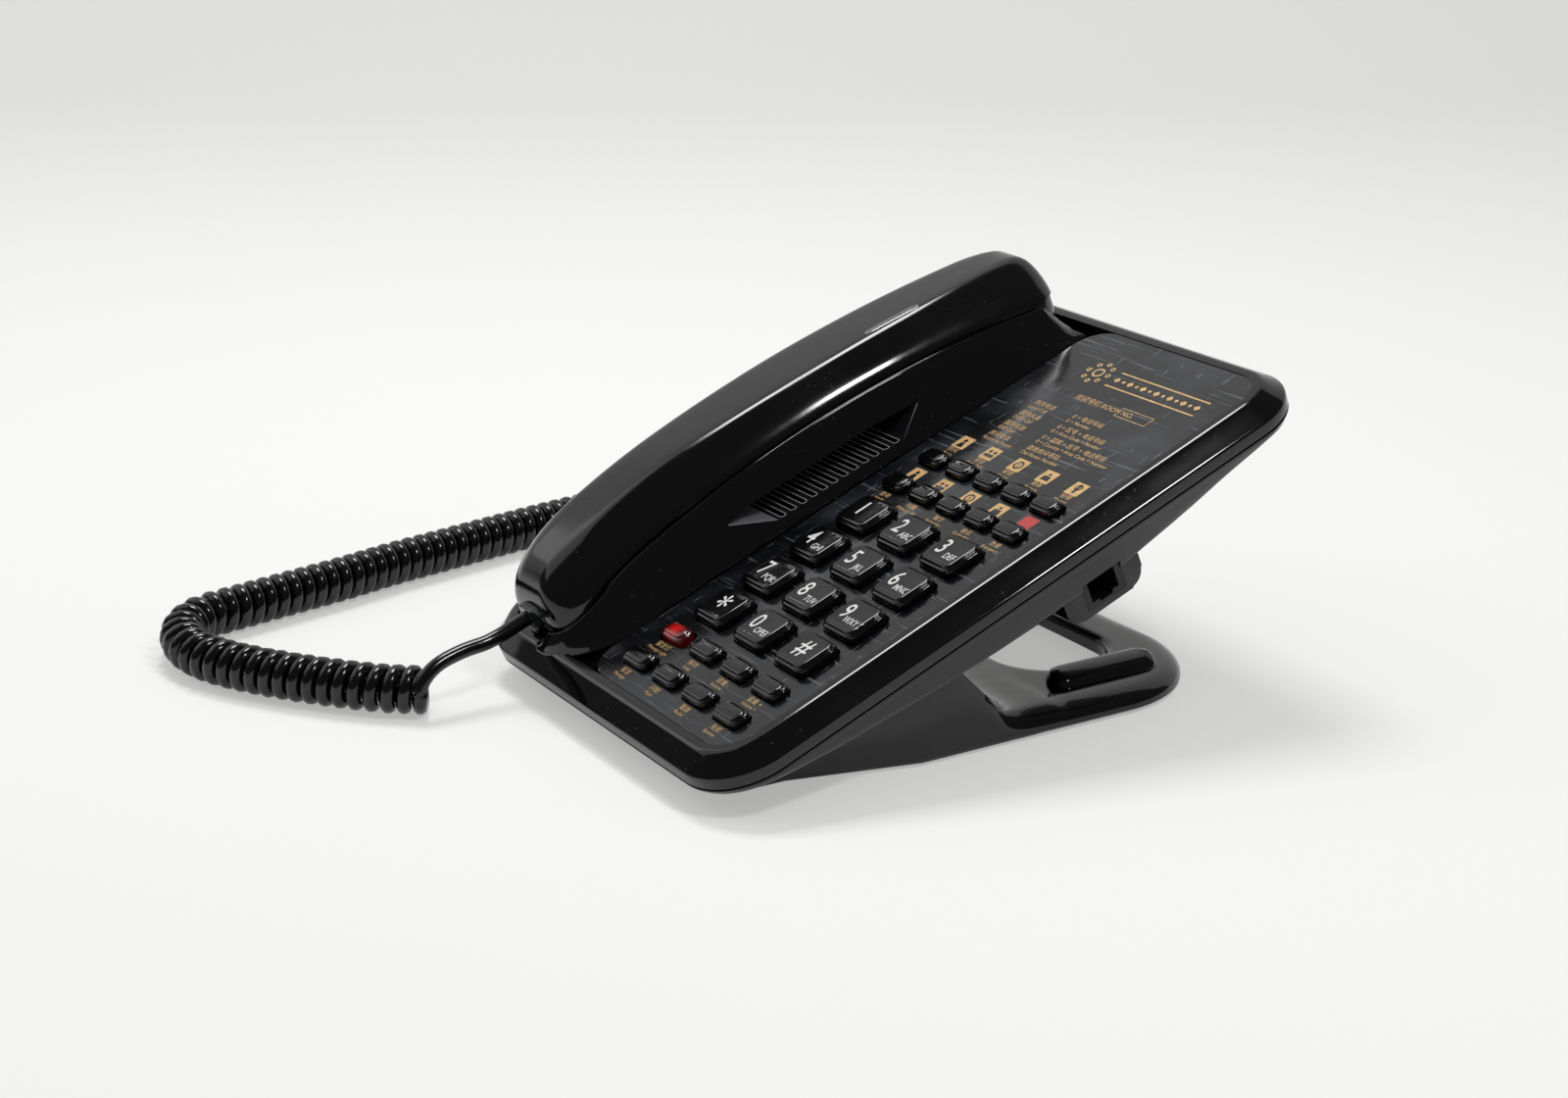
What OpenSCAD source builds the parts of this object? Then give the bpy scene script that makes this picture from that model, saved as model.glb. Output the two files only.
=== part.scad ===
// Push-button desk telephone: a sloping two-part housing on a clip-on wedge stand,
// with a face plate full of keys on the right and an arched handset in a cradle on the left.
// The housing, keys and handset are drawn on the sloping face: x across, y up the face
// from the front edge, z out of it with 0 at the top of the face plate. on_face() sets them
// on the table frame, whose origin is the middle of the stand's front rubber foot.

/* [Body] */
// Width of the body
body_w = 149; // [147:1:160]
// Length of the body along its sloping face
body_l = 215; // [212:1:224]
// Radius of the body's corners, seen from above
corner_r = 20; // [16:1:26]
// Slope of the face above the table, in degrees
tilt = 22.4; // [20:0.2:24]
// Height of the face plate's plane above the table, at the body's front edge
front_h = 15.2; // [14.5:0.1:17]
// Distance from the stand's front foot forward to the body's front edge
body_ahead = 32.8; // [30:0.2:36]
// Drop from the face plate to the parting line between the two housings
upper_h = 8.6; // [8:0.1:10]
// Height of the upright lip above the parting line
lip_h = 3; // [2.5:0.1:4]
// Depth of the lower housing below the parting line
belly_h = 12; // [11:0.2:14]
// Wall thickness of the housings
wall = 2.4; // [2:0.1:2.8]
// Margin from the body's edge to the face plate and to the handset
border = 9; // [8:0.2:10]

/* [Face plate and keys] */
// Width of the face plate
plate_w = 79; // [76:0.5:80]
// Corner radius of the face plate
plate_r = 10; // [6:0.5:14]
// Thickness of the face plate
plate_t = 1.2; // [1:0.1:1.5]
// Sideways shift of the key field from the plate's middle
key_shift = 1.5; // [0:0.1:2]
// Width of a dial key at its base
dial_w = 16; // [14:0.2:17.5]
// Length of a dial key at its base
dial_l = 14.4; // [12:0.2:15]
// Distance between dial key columns
dial_pitch_x = 22; // [20.5:0.1:23]
// Distance between dial key rows
dial_pitch_y = 17.3; // [17:0.1:18]
// Distance from the plate's front edge to the first dial row
dial_y = 38.9; // [38:0.1:40]
// Width of a function key
fn_w = 13; // [11:0.2:14]
// Width of a memory key
mem_w = 11.4; // [9:0.2:11.8]
// Length of a function or memory key
small_l = 6.8; // [5.5:0.1:7.4]
// Distance between function keys
fn_pitch_x = 17; // [16.2:0.1:17.4]
// Distance between function key rows
fn_pitch_y = 13.2; // [12:0.1:13.6]
// Distance from the plate's front edge to the first function row
fn_y = 10.7; // [9.5:0.1:11]
// Distance between memory keys
mem_pitch_x = 14; // [13.7:0.1:14.4]
// Distance between memory key rows
mem_pitch_y = 14; // [12:0.1:15]
// Distance from the plate's front edge to the first memory row
mem_y = 107.4; // [106:0.1:110]
// Height of the keys above the plate
key_h = 3.3; // [2.8:0.1:4]
// Travel of a key
key_travel = 1.5; // [1:0.1:1.8]
// Clearance round a key in its hole
key_gap = 0.3; // [0.2:0.05:0.4]

/* [Handset] */
// Width of the handset
hs_w = 41.4; // [40:0.2:42.4]
// Length of the handset
hs_l = 195; // [190:0.5:196]
// Distance from the body's front edge to the handset's mouth end
hs_front = 10.5; // [10:0.1:11]
// Height of the seam between the handset's shells over the face, at the middle
seam_top = 22; // [21:0.2:24]
// Rise of the seam's arch from the ends to the middle
seam_rise = 12; // [10:0.2:13]
// Height of the handset's back above the seam, at the middle
back_h = 9.3; // [8:0.1:11]
// Rise of the back's arch from the ends to the middle
back_rise = 6.5; // [5:0.1:8]
// How much narrower the back's top is on each side
back_in = 9.9; // [8:0.1:11]
// Depth of the handset's grip below the seam
grip_h = 7; // [6:0.1:7.6]
// Length of the mouth cup and of the ear cup
cup_l = 46; // [42:0.5:48]
// Wall thickness of the handset's shells
hs_wall = 2; // [1.6:0.1:2.2]
// Clearance between the handset and its cradle
cradle_gap = 0.8; // [0.5:0.1:1.2]
// Depth of the handset's well below the face
well_d = 3; // [2.6:0.1:3.4]
// How far the handset lifts off in its straight stand-in slide
hook_travel = 3; // [2:0.1:3]

/* [Sounder grille] */
// Number of grille slots
slot_n = 12; // [8:1:12]
// Distance between the grille slots
slot_pitch = 3.96; // [3.6:0.02:4]
// Width of a grille slot
slot_w = 1.7; // [1.2:0.1:2]
// Length of a grille slot
slot_l = 19; // [16:0.5:20]
// Distance from the body's front edge to the middle of the grille
grille_y = 106.7; // [104:0.1:109]
// Height of the grille's floor above the face plate
grille_z = 3.7; // [3.4:0.1:4.2]
// Diameter of the sounder
sounder_d = 28; // [24:0.5:28]

/* [Stand] */
// Width of the stand
stand_w = 129; // [122:1:132]
// Length of the stand, front to rear
stand_l = 166.5; // [163:0.5:171]
// Distance from the stand's front edge to its front foot
foot_in = 15; // [14:0.5:17]
// Height of the tray at the stand's rear
tray_h = 6; // [5:0.2:8]
// Radius of the stand's rear corners
tray_r = 38; // [32:0.5:42]
// Width of the oval hole in the tray
hole_w = 76; // [64:0.5:78]
// Length of the oval hole in the tray
hole_l = 37; // [32:0.5:38]
// Distance from the wedge's rear foot back to the hole's middle
hole_back = 45; // [43:0.5:47]
// Length of the wedge at table level
wedge_l = 85; // [82:0.5:88]
// How far the wedge's rear face leans forward at its top
wedge_lean = 20; // [16:0.5:24]
// Wall thickness of the stand
stand_wall = 2.6; // [2.2:0.1:3]

/* [Sockets and cord] */
// Width of the line socket's opening
line_w = 9.8; // [9.6:0.1:10]
// Width of a handset socket's opening
jack_w = 7.9; // [7.8:0.1:8.2]
// Height of the sockets' openings
jack_h = 6.7; // [6.6:0.1:6.9]
// Depth of the sockets' openings
jack_d = 10; // [8:0.1:10.4]
// Distance from the body's front edge to the middle of the socket lobes
lobe_y = 131; // [128:0.5:134]
// Length of the socket lobes
lobe_l = 28; // [24:0.5:30]
// Depth of the socket lobes below the parting line
lobe_h = 20; // [19:0.2:22]
// Outer diameter of the curly cord's coil
coil_d = 15; // [14.2:0.2:16]
// Diameter of the cord
cord_d = 4.8; // [4.4:0.1:5]

/* [Hidden] */
$fn = 48;

big = 300;            // longer than anything it cuts
skin = 0.01;          // thickness of a layer that a hull joins
seat = 0.2;           // gap between a piece and what it seats on
slide = 0.05;         // radial clearance of a screw in its hole
housing_col = "#141417";
stand_col = "#101013";
metal_col = "#b9bcc0";
board_col = "#1f5a34";

// Places on the face
plate_x1 = body_w / 2 - border;
plate_x0 = plate_x1 - plate_w;
plate_cx = plate_x1 - plate_w / 2;
plate_l = body_l - 2 * border;
key_cx = plate_cx + key_shift;
part_z = -upper_h;
belly_z = part_z - belly_h;
hs_cx = -body_w / 2 + border + hs_w / 2;
hs_cy = hs_front + hs_l / 2;
hs_rear = hs_front + hs_l;
hs_x1 = hs_cx + hs_w / 2;
hs_bottom = seat - well_d;
seam_r = (pow(hs_l / 2, 2) + pow(seam_rise, 2)) / (2 * seam_rise);
back_r = (pow(hs_l / 2, 2) + pow(back_rise, 2)) / (2 * back_rise);

// Stack under the face plate, from the keys' flanges to the board
flange_t = 1;
flange_w = 0.8;
flange_top = -plate_t - seat;
flange_bottom = flange_top - flange_t;
mat_top = flange_bottom - key_travel - 0.3;
mat_t = 1.3;
board_top = mat_top - mat_t - 0.1;
board_t = 1.6;
board_w = 68;
board_y0 = border + 4;
board_l = 127;
window_edge = 3;      // ledge that carries the face plate

// Key tables: node names row by row from the front, and small key corner radii
DIAL = [["key_star", "key_0", "key_hash"], ["key_7", "key_8", "key_9"],
    ["key_4", "key_5", "key_6"], ["key_1", "key_2", "key_3"]];
FUNCTION = [["message_key", "flash_key", "redial_key", "speaker_key"],
    ["message_light_lens", "hold_key", "volume_down_key", "volume_up_key"]];
MEMORY = [["memory_key_6", "memory_key_7", "memory_key_8", "memory_key_9", "memory_key_10"],
    ["memory_key_1", "memory_key_2", "memory_key_3", "memory_key_4", "memory_key_5"]];
dial_r = 3.2;
small_r = 2.6;
key_step = 0.9;       // height and width of the step round a key's top

// A row's key places: column number, columns in the row, pitch and row place
function key_x(column, columns, pitch) = key_cx + (column - (columns - 1) / 2) * pitch;
function dial_row_y(row) = border + dial_y + row * dial_pitch_y;
function fn_row_y(row) = border + fn_y + row * fn_pitch_y;
function mem_row_y(row) = border + mem_y + row * mem_pitch_y;

// Height of the handset's seam over the face at y
function seam_z(y) = seam_top - seam_r + sqrt(pow(seam_r, 2) - pow(y - hs_cy, 2));

// A point of the face in the table frame
function face_to_table(p) = [p[0],
    -body_ahead + p[1] * cos(tilt) - p[2] * sin(tilt),
    front_h + p[1] * sin(tilt) + p[2] * cos(tilt)];

module on_face() {
    translate([0, -body_ahead, front_h]) rotate([tilt, 0, 0]) children();
}

// Rounded rectangle about the middle, with true arcs
module rounded(w, l, r) {
    square([w - 2 * r, l], center = true);
    square([w, l - 2 * r], center = true);
    for (x = [-1, 1], y = [-1, 1])
        translate([x * (w / 2 - r), y * (l / 2 - r)]) circle(r);
}

module block(w, l, r, z0, z1) {
    translate([0, 0, z0]) linear_extrude(z1 - z0) rounded(w, l, r);
}

// A side-view outline (y, z) pushed across from x0 to x1
module across(x0, x1) {
    translate([x0, 0, 0]) rotate([90, 0, 90]) linear_extrude(x1 - x0) children();
}

// Upper housing's outer shape: distance in from the body's edge, and height
rim = [[border - 1.4, 0.3], [border - 3.8, -0.3], [border - 6.2, -2], [1, -4],
    [0, -upper_h + lip_h], [0, -upper_h]];

module pillow(t) {
    hull() for (p = rim)
        translate([0, body_l / 2, p[1] - t])
            linear_extrude(skin)
                rounded(body_w - 2 * (p[0] + t), body_l - 2 * (p[0] + t),
                    max(corner_r - p[0] - t, 2), $fn = 32);
}

// Lower housing's outer shape: distance in, depth, and how far front and rear are cut back
flat_y0 = 95;         // where the flat of the belly starts
hull_lines = [[0, 0, 0, 0], [0.6, 2, 0.6, 0.6], [1.2, 4, 10, 14], [2.2, 7, 30, 30],
    [3.2, belly_h - 2, 60, 50], [4, belly_h, flat_y0, 60]];

module boat(t) {
    hull() for (p = hull_lines)
        translate([0, (body_l + p[2] - p[3]) / 2, part_z - skin - p[1] + (p[1] > 0 ? t : 0)])
            linear_extrude(skin)
                rounded(body_w - 2 * (p[0] + t), body_l - p[2] - p[3] - 2 * t,
                    max(corner_r - p[0] - t, 2), $fn = 32);
}

// ---- Stand ----

wedge_rear = wedge_l - foot_in;
// Side view of the belly's flat underside at y, dropped by d
function under(y, d) = [face_to_table([0, y, belly_z - d])[1], face_to_table([0, y, belly_z - d])[2]];
wedge_top_y = (wedge_rear - wedge_lean + body_ahead + belly_z * sin(tilt)) / cos(tilt);
stand_rear = stand_l - foot_in;
toe_h = 5;
front_r = 15;
front_in = 10;        // how much narrower the stand is on each side at its front
rubber_t = 1;

module stand_outline(t) {
    hull() {
        for (x = [-1, 1]) translate([x * (stand_w / 2 - tray_r), stand_rear - tray_r])
            circle(tray_r - t, $fn = 72);
        for (x = [-1, 1]) translate([x * (stand_w / 2 - front_r), wedge_rear - 30])
            circle(front_r - t);
        for (x = [-1, 1]) translate([x * (stand_w / 2 - front_in - front_r), front_r - foot_in])
            circle(front_r - t);
    }
}

// Side view of the stand, lowered by d all over
module stand_side(d) {
    polygon([[-foot_in, rubber_t], [-foot_in, rubber_t + toe_h - d], under(14, d - 4),
        under(wedge_top_y, d - 4), [wedge_rear, tray_h + rubber_t - d],
        [stand_rear, tray_h + rubber_t - d], [stand_rear, rubber_t]]);
}

bar_l = 38;
bar_w = 11;
bar_h = 4;
bar_x = stand_w / 2 - 18;
bar_y = wedge_rear + hole_back + 1;
hook_w = 8;
hook_t = 2.4;
hook_h = wall + 4;
hook_ys = [60, 76];
hook_x = 40;

// Hook that reaches through the lower housing's floor; grow > 0 makes the slot for it
module stand_hook(grow) {
    translate([-hook_w / 2 - grow, -hook_t / 2 - grow, -1])
        cube([hook_w + 2 * grow, hook_t + 2 * grow, hook_h + 1]);
}

module hook_places() {
    on_face() for (x = [-hook_x, hook_x], y = hook_ys) translate([x, y, belly_z - seat]) children();
}

// Raised bar beside the tray's hole, its outer flank sloping down
module bar() {
    intersection() {
        translate([bar_x, bar_y, 0])
            block(bar_w, bar_l, bar_w / 2 - 0.1, rubber_t + 1, rubber_t + tray_h + bar_h);
        translate([bar_x, bar_y + bar_l / 2, 0]) rotate([90, 0, 0]) linear_extrude(bar_l)
            polygon([[-bar_w / 2, 0], [-bar_w / 2, rubber_t + tray_h + bar_h - 1],
                [0, rubber_t + tray_h + bar_h - 1], [bar_w / 2, rubber_t + tray_h + 1.5],
                [bar_w / 2, 0]]);
    }
}

module stand_base() {
    color(stand_col) difference() {
        union() {
            difference() {
                intersection() {
                    translate([0, 0, rubber_t]) linear_extrude(big) stand_outline(0);
                    across(-stand_w / 2, stand_w / 2) stand_side(0);
                }
                on_face() translate([0, 0, -seat]) boat(0);
                // hollow underside of the wedge
                intersection() {
                    translate([0, 0, -1]) linear_extrude(big) stand_outline(2 * stand_wall);
                    across(-stand_w / 2 + 2 * stand_wall, stand_w / 2 - 2 * stand_wall)
                        polygon([[14, -1], under(52, stand_wall), under(wedge_top_y - 4, stand_wall),
                            [wedge_rear - 2 * stand_wall, rubber_t + 1], [wedge_rear - 2 * stand_wall, -1]]);
                }
            }
            hook_places() stand_hook(0);
            for (s = [-1, 1]) mirror([s < 0 ? 1 : 0, 0, 0]) bar();
        }
        translate([0, wedge_rear + hole_back, 0])
            block(hole_w, hole_l, hole_l / 2 - 0.1, -1, big);
        foot_places() block(foot_w + 2 * seat, foot_l + 2 * seat, foot_l / 2, -1, rubber_t + foot_sunk);
    }
}

foot_w = 34;
foot_l = 9;
foot_sunk = 1;

module foot_places() {
    translate([0, 0, 0]) children();
    for (x = [-1, 1]) translate([x * (stand_w / 2 - tray_r - 2), stand_rear - 9, 0]) children();
}

module stand_feet() {
    color("#26262a") foot_places()
        block(foot_w, foot_l, foot_l / 2 - 0.1, 0, rubber_t + foot_sunk - 0.1);
}

// ---- Lower housing ----

screw_r = 1.5;
screw_head_r = 2.8;
screw_head_t = 1.8;
boss_r = 3.6;
screw_seat_z = part_z - 4;
post_r = 2.6;
// Screw places: x, y and the height that the upper boss reaches
screws = [[body_w / 2 - 8.5, 42, -2], [body_w / 2 - 8.5, 172, -2],
    [hs_cx - 11.2, 42, -5], [hs_cx - 11.2, 172, -5]];
post_xy = [[-board_w / 2 + 5, 14], [board_w / 2 - 7, 14], [-board_w / 2 + 5, board_l - 8],
    [board_w / 2 - 7, board_l - 8]];
lobe_w = 24;
lobe_out = 4;         // how far the lobe's face lies in from the body's edge
socket_w = 14;
socket_z = part_z - 13.4;
socket_t = 9;
jack_lift = 0.5;      // the opening stands this much above its latch notch
socket_l = 12;

module lobes() {
    for (s = [-1, 1]) mirror([s < 0 ? 1 : 0, 0, 0])
        across(body_w / 2 - lobe_out - lobe_w, body_w / 2 - lobe_out)
            translate([lobe_y, part_z - lobe_h / 2 - 3]) rounded(lobe_l, lobe_h - 6, 5);
}

module lower_housing() {
    color(housing_col) on_face() difference() {
        union() {
            difference() {
                union() {
                    boat(0);
                    lobes();
                }
                boat(wall);
                translate([0, body_l / 2, part_z - 0.5])
                    block(body_w - 2 * wall, body_l - 2 * wall, corner_r - wall, 0, 2);
            }
            intersection() {
                boat(0);
                union() {
                    for (p = screws) translate([p[0], p[1], belly_z - 1])
                        cylinder(r = boss_r + 0.8, h = part_z - 0.5 - belly_z + 1);
                    for (p = post_xy) translate([key_cx + p[0], board_y0 + p[1], belly_z])
                        cylinder(r = post_r, h = board_top - board_t - 0.05 - belly_z);
                    for (x = [-1, 1]) translate([hs_cx + x * 12, hook_y, belly_z])
                        translate([-1.5, -6, 0]) cube([3, 12, belly_h - 3]);
                }
            }
            for (p = post_xy) translate([key_cx + p[0], board_y0 + p[1], part_z - 3])
                cylinder(r = post_r, h = board_top - board_t - 0.05 - part_z + 3);
        }
        for (p = screws) translate([p[0], p[1], 0]) {
            translate([0, 0, belly_z - 1]) cylinder(r = screw_r + 2 * slide, h = belly_h + 2);
            translate([0, 0, belly_z - 1]) cylinder(r = screw_head_r + 0.4, h = screw_seat_z - belly_z + 1);
        }
        for (x = [-hook_x, hook_x], y = hook_ys) translate([x, y, belly_z])
            stand_hook(0.4);
        for (s = [-1, 1])
            translate([s * (body_w / 2 - lobe_out - socket_l / 2 + 5), lobe_y, socket_z])
                cube([socket_l + 10 + 2 * seat, socket_w + seat, socket_t + seat], center = true);
    }
}

// ---- Upper housing with the handset's cradle ----

ridge_x0 = hs_x1 + cradle_gap;
ridge_x1 = plate_x0 - 0.6;
ridge_tip = 1.2;
ridge_drop = 1;       // how far the ridge stays under the handset's seam
platform_x0 = -47 + (hs_cx + 44.8);
platform_y0 = hs_front + cup_l + 6;
platform_y1 = hs_rear - cup_l - 6;
sounder_x = ridge_x1 - 1.2 - sounder_d / 2 - seat;
mouth_top = grille_z + 7.9;
mouth_x0 = sounder_x - 8.5;
hook_y = hs_rear - cup_l + 9;

// Side view of all that lies below the handset's seam, d lower
module under_seam(d) {
    translate([hs_cy, seam_top - seam_r - d]) circle(seam_r, $fn = 360);
}

module ridge() {
    intersection() {
        translate([0, body_l, 0]) rotate([90, 0, 0]) linear_extrude(body_l)
            polygon([[ridge_x1, -2], [ridge_x1, 0], [ridge_x0 + ridge_tip, seam_top],
                [ridge_x0, seam_top], [ridge_x0, -2]]);
        across(ridge_x0 - 1, ridge_x1 + 1) intersection() {
            under_seam(ridge_drop);
            polygon([[hs_front - 3, -2], [hs_front - 1, 0], [hs_front + 6, seam_top],
                [hs_rear - 6, seam_top], [hs_rear + 1, 0], [hs_rear + 3, -2]]);
        }
    }
}

// Raised middle of the cradle, under the handset's grip
module platform() {
    intersection() {
        across(platform_x0, ridge_x0 + 1) intersection() {
            under_seam(grip_h + cradle_gap);
            polygon([[platform_y0 - 2, -well_d - 1], [platform_y0 + 3, seam_top],
                [platform_y1 - 3, seam_top], [platform_y1 + 2, -well_d - 1]]);
        }
        translate([(platform_x0 + ridge_x0 + 20) / 2, (platform_y0 + platform_y1) / 2, 0])
            block(ridge_x0 + 20 - platform_x0, platform_y1 - platform_y0 + 4, 4, -well_d - 1, seam_top);
    }
}

module handset_well() {
    translate([hs_cx, hs_cy, 0])
        block(hs_w + 2 * cradle_gap, hs_l + 2 * cradle_gap, 9, -well_d, 5);
}

// Sound mouth in the ridge: a flat floor with sloping ends
module mouth() {
    across(mouth_x0, ridge_x1 + 5) polygon([[grille_y - 39, mouth_top - 1.4],
        [grille_y - 24, grille_z], [grille_y + 24, grille_z], [grille_y + 34, mouth_top - 1.2],
        [grille_y + 16, mouth_top], [grille_y - 29, mouth_top]]);
}

module slots() {
    for (i = [0 : slot_n - 1])
        translate([sounder_x + 3.7, grille_y + (i - (slot_n - 1) / 2) * slot_pitch, 0])
            block(slot_l, slot_w, slot_w / 2 - 0.02, -1, grille_z + 1);
}

plunger_w = 10;
plunger_l = 6;

module upper_housing() {
    color(housing_col) on_face() difference() {
        union() {
            difference() {
                union() {
                    pillow(0);
                    ridge();
                }
                handset_well();
                difference() {
                    pillow(wall);
                    translate([hs_cx, hs_cy, 0])
                        block(hs_w + 2 * (cradle_gap + wall), hs_l + 2 * (cradle_gap + wall), 11,
                            -well_d - wall, 5);
                }
            }
            platform();
            for (p = screws) translate([p[0], p[1], part_z - 0.3])
                cylinder(r = boss_r, h = p[2] - part_z + 0.3);
        }
        // recess for the face plate, and the window under its keys
        translate([plate_cx, body_l / 2, 0])
            block(plate_w + 0.4, plate_l + 0.4, plate_r + 0.2, -plate_t - 0.05, 2);
        translate([plate_cx, border + window_edge + 63, 0])
            block(plate_w - 2 * window_edge, 126, 5, part_z, 0);
        mouth();
        slots();
        translate([sounder_x, grille_y, part_z - 1])
            cylinder(d = sounder_d + 2 * seat, h = grille_z - 2 - part_z + 1);
        translate([hs_cx, hook_y, 0]) block(plunger_w + 0.6, plunger_l + 0.6, 1, part_z, 1);
        for (p = screws) translate([p[0], p[1], part_z - 1])
            cylinder(r = screw_r + slide, h = p[2] - part_z - 1);
    }
}

// ---- Face plate ----

module key_holes() {
    for (row = [0 : 3], i = [0 : 2]) translate([key_x(i, 3, dial_pitch_x), dial_row_y(row)])
        rounded(dial_w + 2 * key_gap, dial_l + 2 * key_gap, dial_r);
    for (row = [0 : 1], i = [0 : 3]) translate([key_x(i, 4, fn_pitch_x), fn_row_y(row)])
        rounded(fn_w + 2 * key_gap, small_l + 2 * key_gap, small_r);
    for (row = [0 : 1], i = [0 : 4]) translate([key_x(i, 5, mem_pitch_x), mem_row_y(row)])
        rounded(mem_w + 2 * key_gap, small_l + 2 * key_gap, small_r);
}

module face_plate() {
    color("#2b2d36") on_face() translate([0, 0, -plate_t]) linear_extrude(plate_t) difference() {
        translate([plate_cx, body_l / 2]) rounded(plate_w, plate_l, plate_r);
        key_holes();
    }
}

// ---- Keys ----

// A key cap with a stepped top and a flange that holds it under the plate
module key_cap(w, l, r) {
    block(w, l, r, flange_bottom, key_h - key_step);
    block(w - 2 * key_step, l - 2 * key_step, r - key_step, flange_bottom, key_h);
    block(w + 2 * flange_w, l + 2 * flange_w, r, flange_bottom, flange_top);
}

module dial_key(row, i) {
    color("#17171a") on_face() translate([key_x(i, 3, dial_pitch_x), dial_row_y(row), 0])
        key_cap(dial_w, dial_l, dial_r);
}

module memory_key(row, i) {
    color("#17171a") on_face() translate([key_x(i, 5, mem_pitch_x), mem_row_y(row), 0])
        key_cap(mem_w, small_l, small_r);
}

module function_key(row, i) {
    color("#17171a") on_face() translate([key_x(i, 4, fn_pitch_x), fn_row_y(row), 0])
        key_cap(fn_w, small_l, small_r);
}

module message_light_lens() {
    color("#e01818") on_face() translate([key_x(0, 4, fn_pitch_x), fn_row_y(1), 0])
        key_cap(fn_w, small_l, small_r);
}

// ---- Electronics ----

led_r = 1.5;

module message_led() {
    color("#ff5040") on_face() translate([key_x(0, 4, fn_pitch_x), fn_row_y(1), board_top + 0.05])
        cylinder(r = led_r, h = flange_bottom - 0.1 - board_top - 0.05);
}

module keypad_mat() {
    color("#4a4c52") on_face() difference() {
        translate([key_cx, board_y0 + board_l / 2, 0])
            block(board_w - 1, board_l - 3, 3, mat_top - mat_t, mat_top);
        translate([key_x(0, 4, fn_pitch_x), fn_row_y(1), mat_top - mat_t - 1])
            cylinder(r = led_r + 0.5, h = mat_t + 2);
    }
}

module main_board() {
    color(board_col) on_face() translate([key_cx, board_y0 + board_l / 2, 0])
        block(board_w, board_l, 2, board_top - board_t, board_top);
}

mic_r = 3;

module base_microphone() {
    color(metal_col) on_face() translate([key_cx, board_y0 + 12, board_top - board_t - seat - 2.2])
        cylinder(r = mic_r, h = 2.2);
}

module sounder() {
    color("#3c3d42") on_face() translate([sounder_x, grille_y, 0]) {
        translate([0, 0, grille_z - 2 - seat - 2]) cylinder(d = sounder_d - 0.4, h = 2);
        translate([0, 0, grille_z - 2 - seat - 5]) cylinder(d = sounder_d - 6, h = 4);
        translate([0, 0, grille_z - 2 - seat - 9]) cylinder(d = sounder_d - 14, h = 5);
    }
}

switch_top = part_z - 1.6;
switch_w = plunger_w + 2;
switch_h = 4.2;

module hook_plunger() {
    color("#e8e6df") on_face() translate([hs_cx, hook_y, 0]) {
        block(plunger_w, plunger_l, 1, switch_top + 0.1, -well_d + 0.05);
        block(switch_w, plunger_l + 4, 1, -well_d - wall - hook_travel - 1.5,
            -well_d - wall - hook_travel - 0.3);
    }
}

module hook_switch() {
    color("#202226") on_face() translate([hs_cx, hook_y, 0])
        translate([-switch_w / 2, -3.2, switch_top - switch_h])
            cube([switch_w, 6.4, switch_h]);
}

// Socket block, seen from its mouth along +x: opening and latch notch
module socket_block(w) {
    difference() {
        translate([-socket_l, -socket_w / 2, -socket_t / 2]) cube([socket_l, socket_w, socket_t]);
        translate([-jack_d, -w / 2, -jack_h / 2 + jack_lift]) cube([jack_d + 1, w, jack_h]);
        translate([-jack_d, -w / 4, -jack_h / 2 - jack_lift]) cube([jack_d + 1, w / 2, jack_h]);
    }
}

module line_socket() {
    color("#1d1e22") on_face() translate([body_w / 2 - lobe_out, lobe_y, socket_z])
        socket_block(line_w);
}

module handset_cord_socket() {
    color("#1d1e22") on_face() translate([-body_w / 2 + lobe_out, lobe_y, socket_z])
        rotate([0, 0, 180]) socket_block(jack_w);
}

ballast_x = -27;
ballast_w = 38;
ballast_l = 40;
ballast_t = 5.6;

module ballast_weight() {
    color(metal_col) on_face() translate([ballast_x, flat_y0 + 3 + ballast_l / 2, 0])
        block(ballast_w, ballast_l, 2, belly_z + wall + 0.2, belly_z + wall + 0.2 + ballast_t);
}

module housing_screws() {
    color(metal_col) on_face() for (p = screws) translate([p[0], p[1], screw_seat_z]) {
        translate([0, 0, -screw_head_t - 0.02]) cylinder(r = screw_head_r, h = screw_head_t);
        translate([0, 0, -screw_head_t])
            cylinder(r = screw_r, h = p[2] - screw_seat_z + screw_head_t - 2.4);
    }
}

// ---- Handset ----

// Side view of the back shell, all walls moved in by t
module back_side(t) {
    difference() {
        intersection() {
            translate([hs_cy - 8, seam_top + back_h - back_r]) circle(back_r - t, $fn = 360);
            translate([hs_cy, 0]) rounded(hs_l - 2 * t, 2 * (seam_top + back_h - t), 14);
        }
        translate([0, -t]) under_seam(t > 0 ? 1 : -0.1);
    }
}

lean_from = 0.6;      // the sides stand upright this far above the seam

// The arched shape whose sides lean in above the seam, walls moved in by t
module leaning_arch(t) {
    lean = back_in / back_h;
    low = -5;
    top = back_h + 6.5;
    low_half = hs_w / 2 - t - (low - lean_from) * lean;
    top_half = hs_w / 2 - t - (top - lean_from) * lean;
    translate([hs_cx, hs_cy, seam_top - seam_r]) rotate([0, 90, 0]) rotate_extrude($fn = 360)
        polygon([[seam_r + low, -low_half], [seam_r + top, -top_half],
            [seam_r + top, top_half], [seam_r + low, low_half]]);
}

module back_form(t) {
    intersection() {
        across(hs_cx - hs_w, hs_cx + hs_w) back_side(t);
        // a touch longer than the side view, which alone ends the shell
        translate([hs_cx, hs_cy, 0]) block(hs_w - 2 * t, hs_l - 2 * t + 0.1, 9, -5, 50);
        leaning_arch(t);
    }
}

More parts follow.
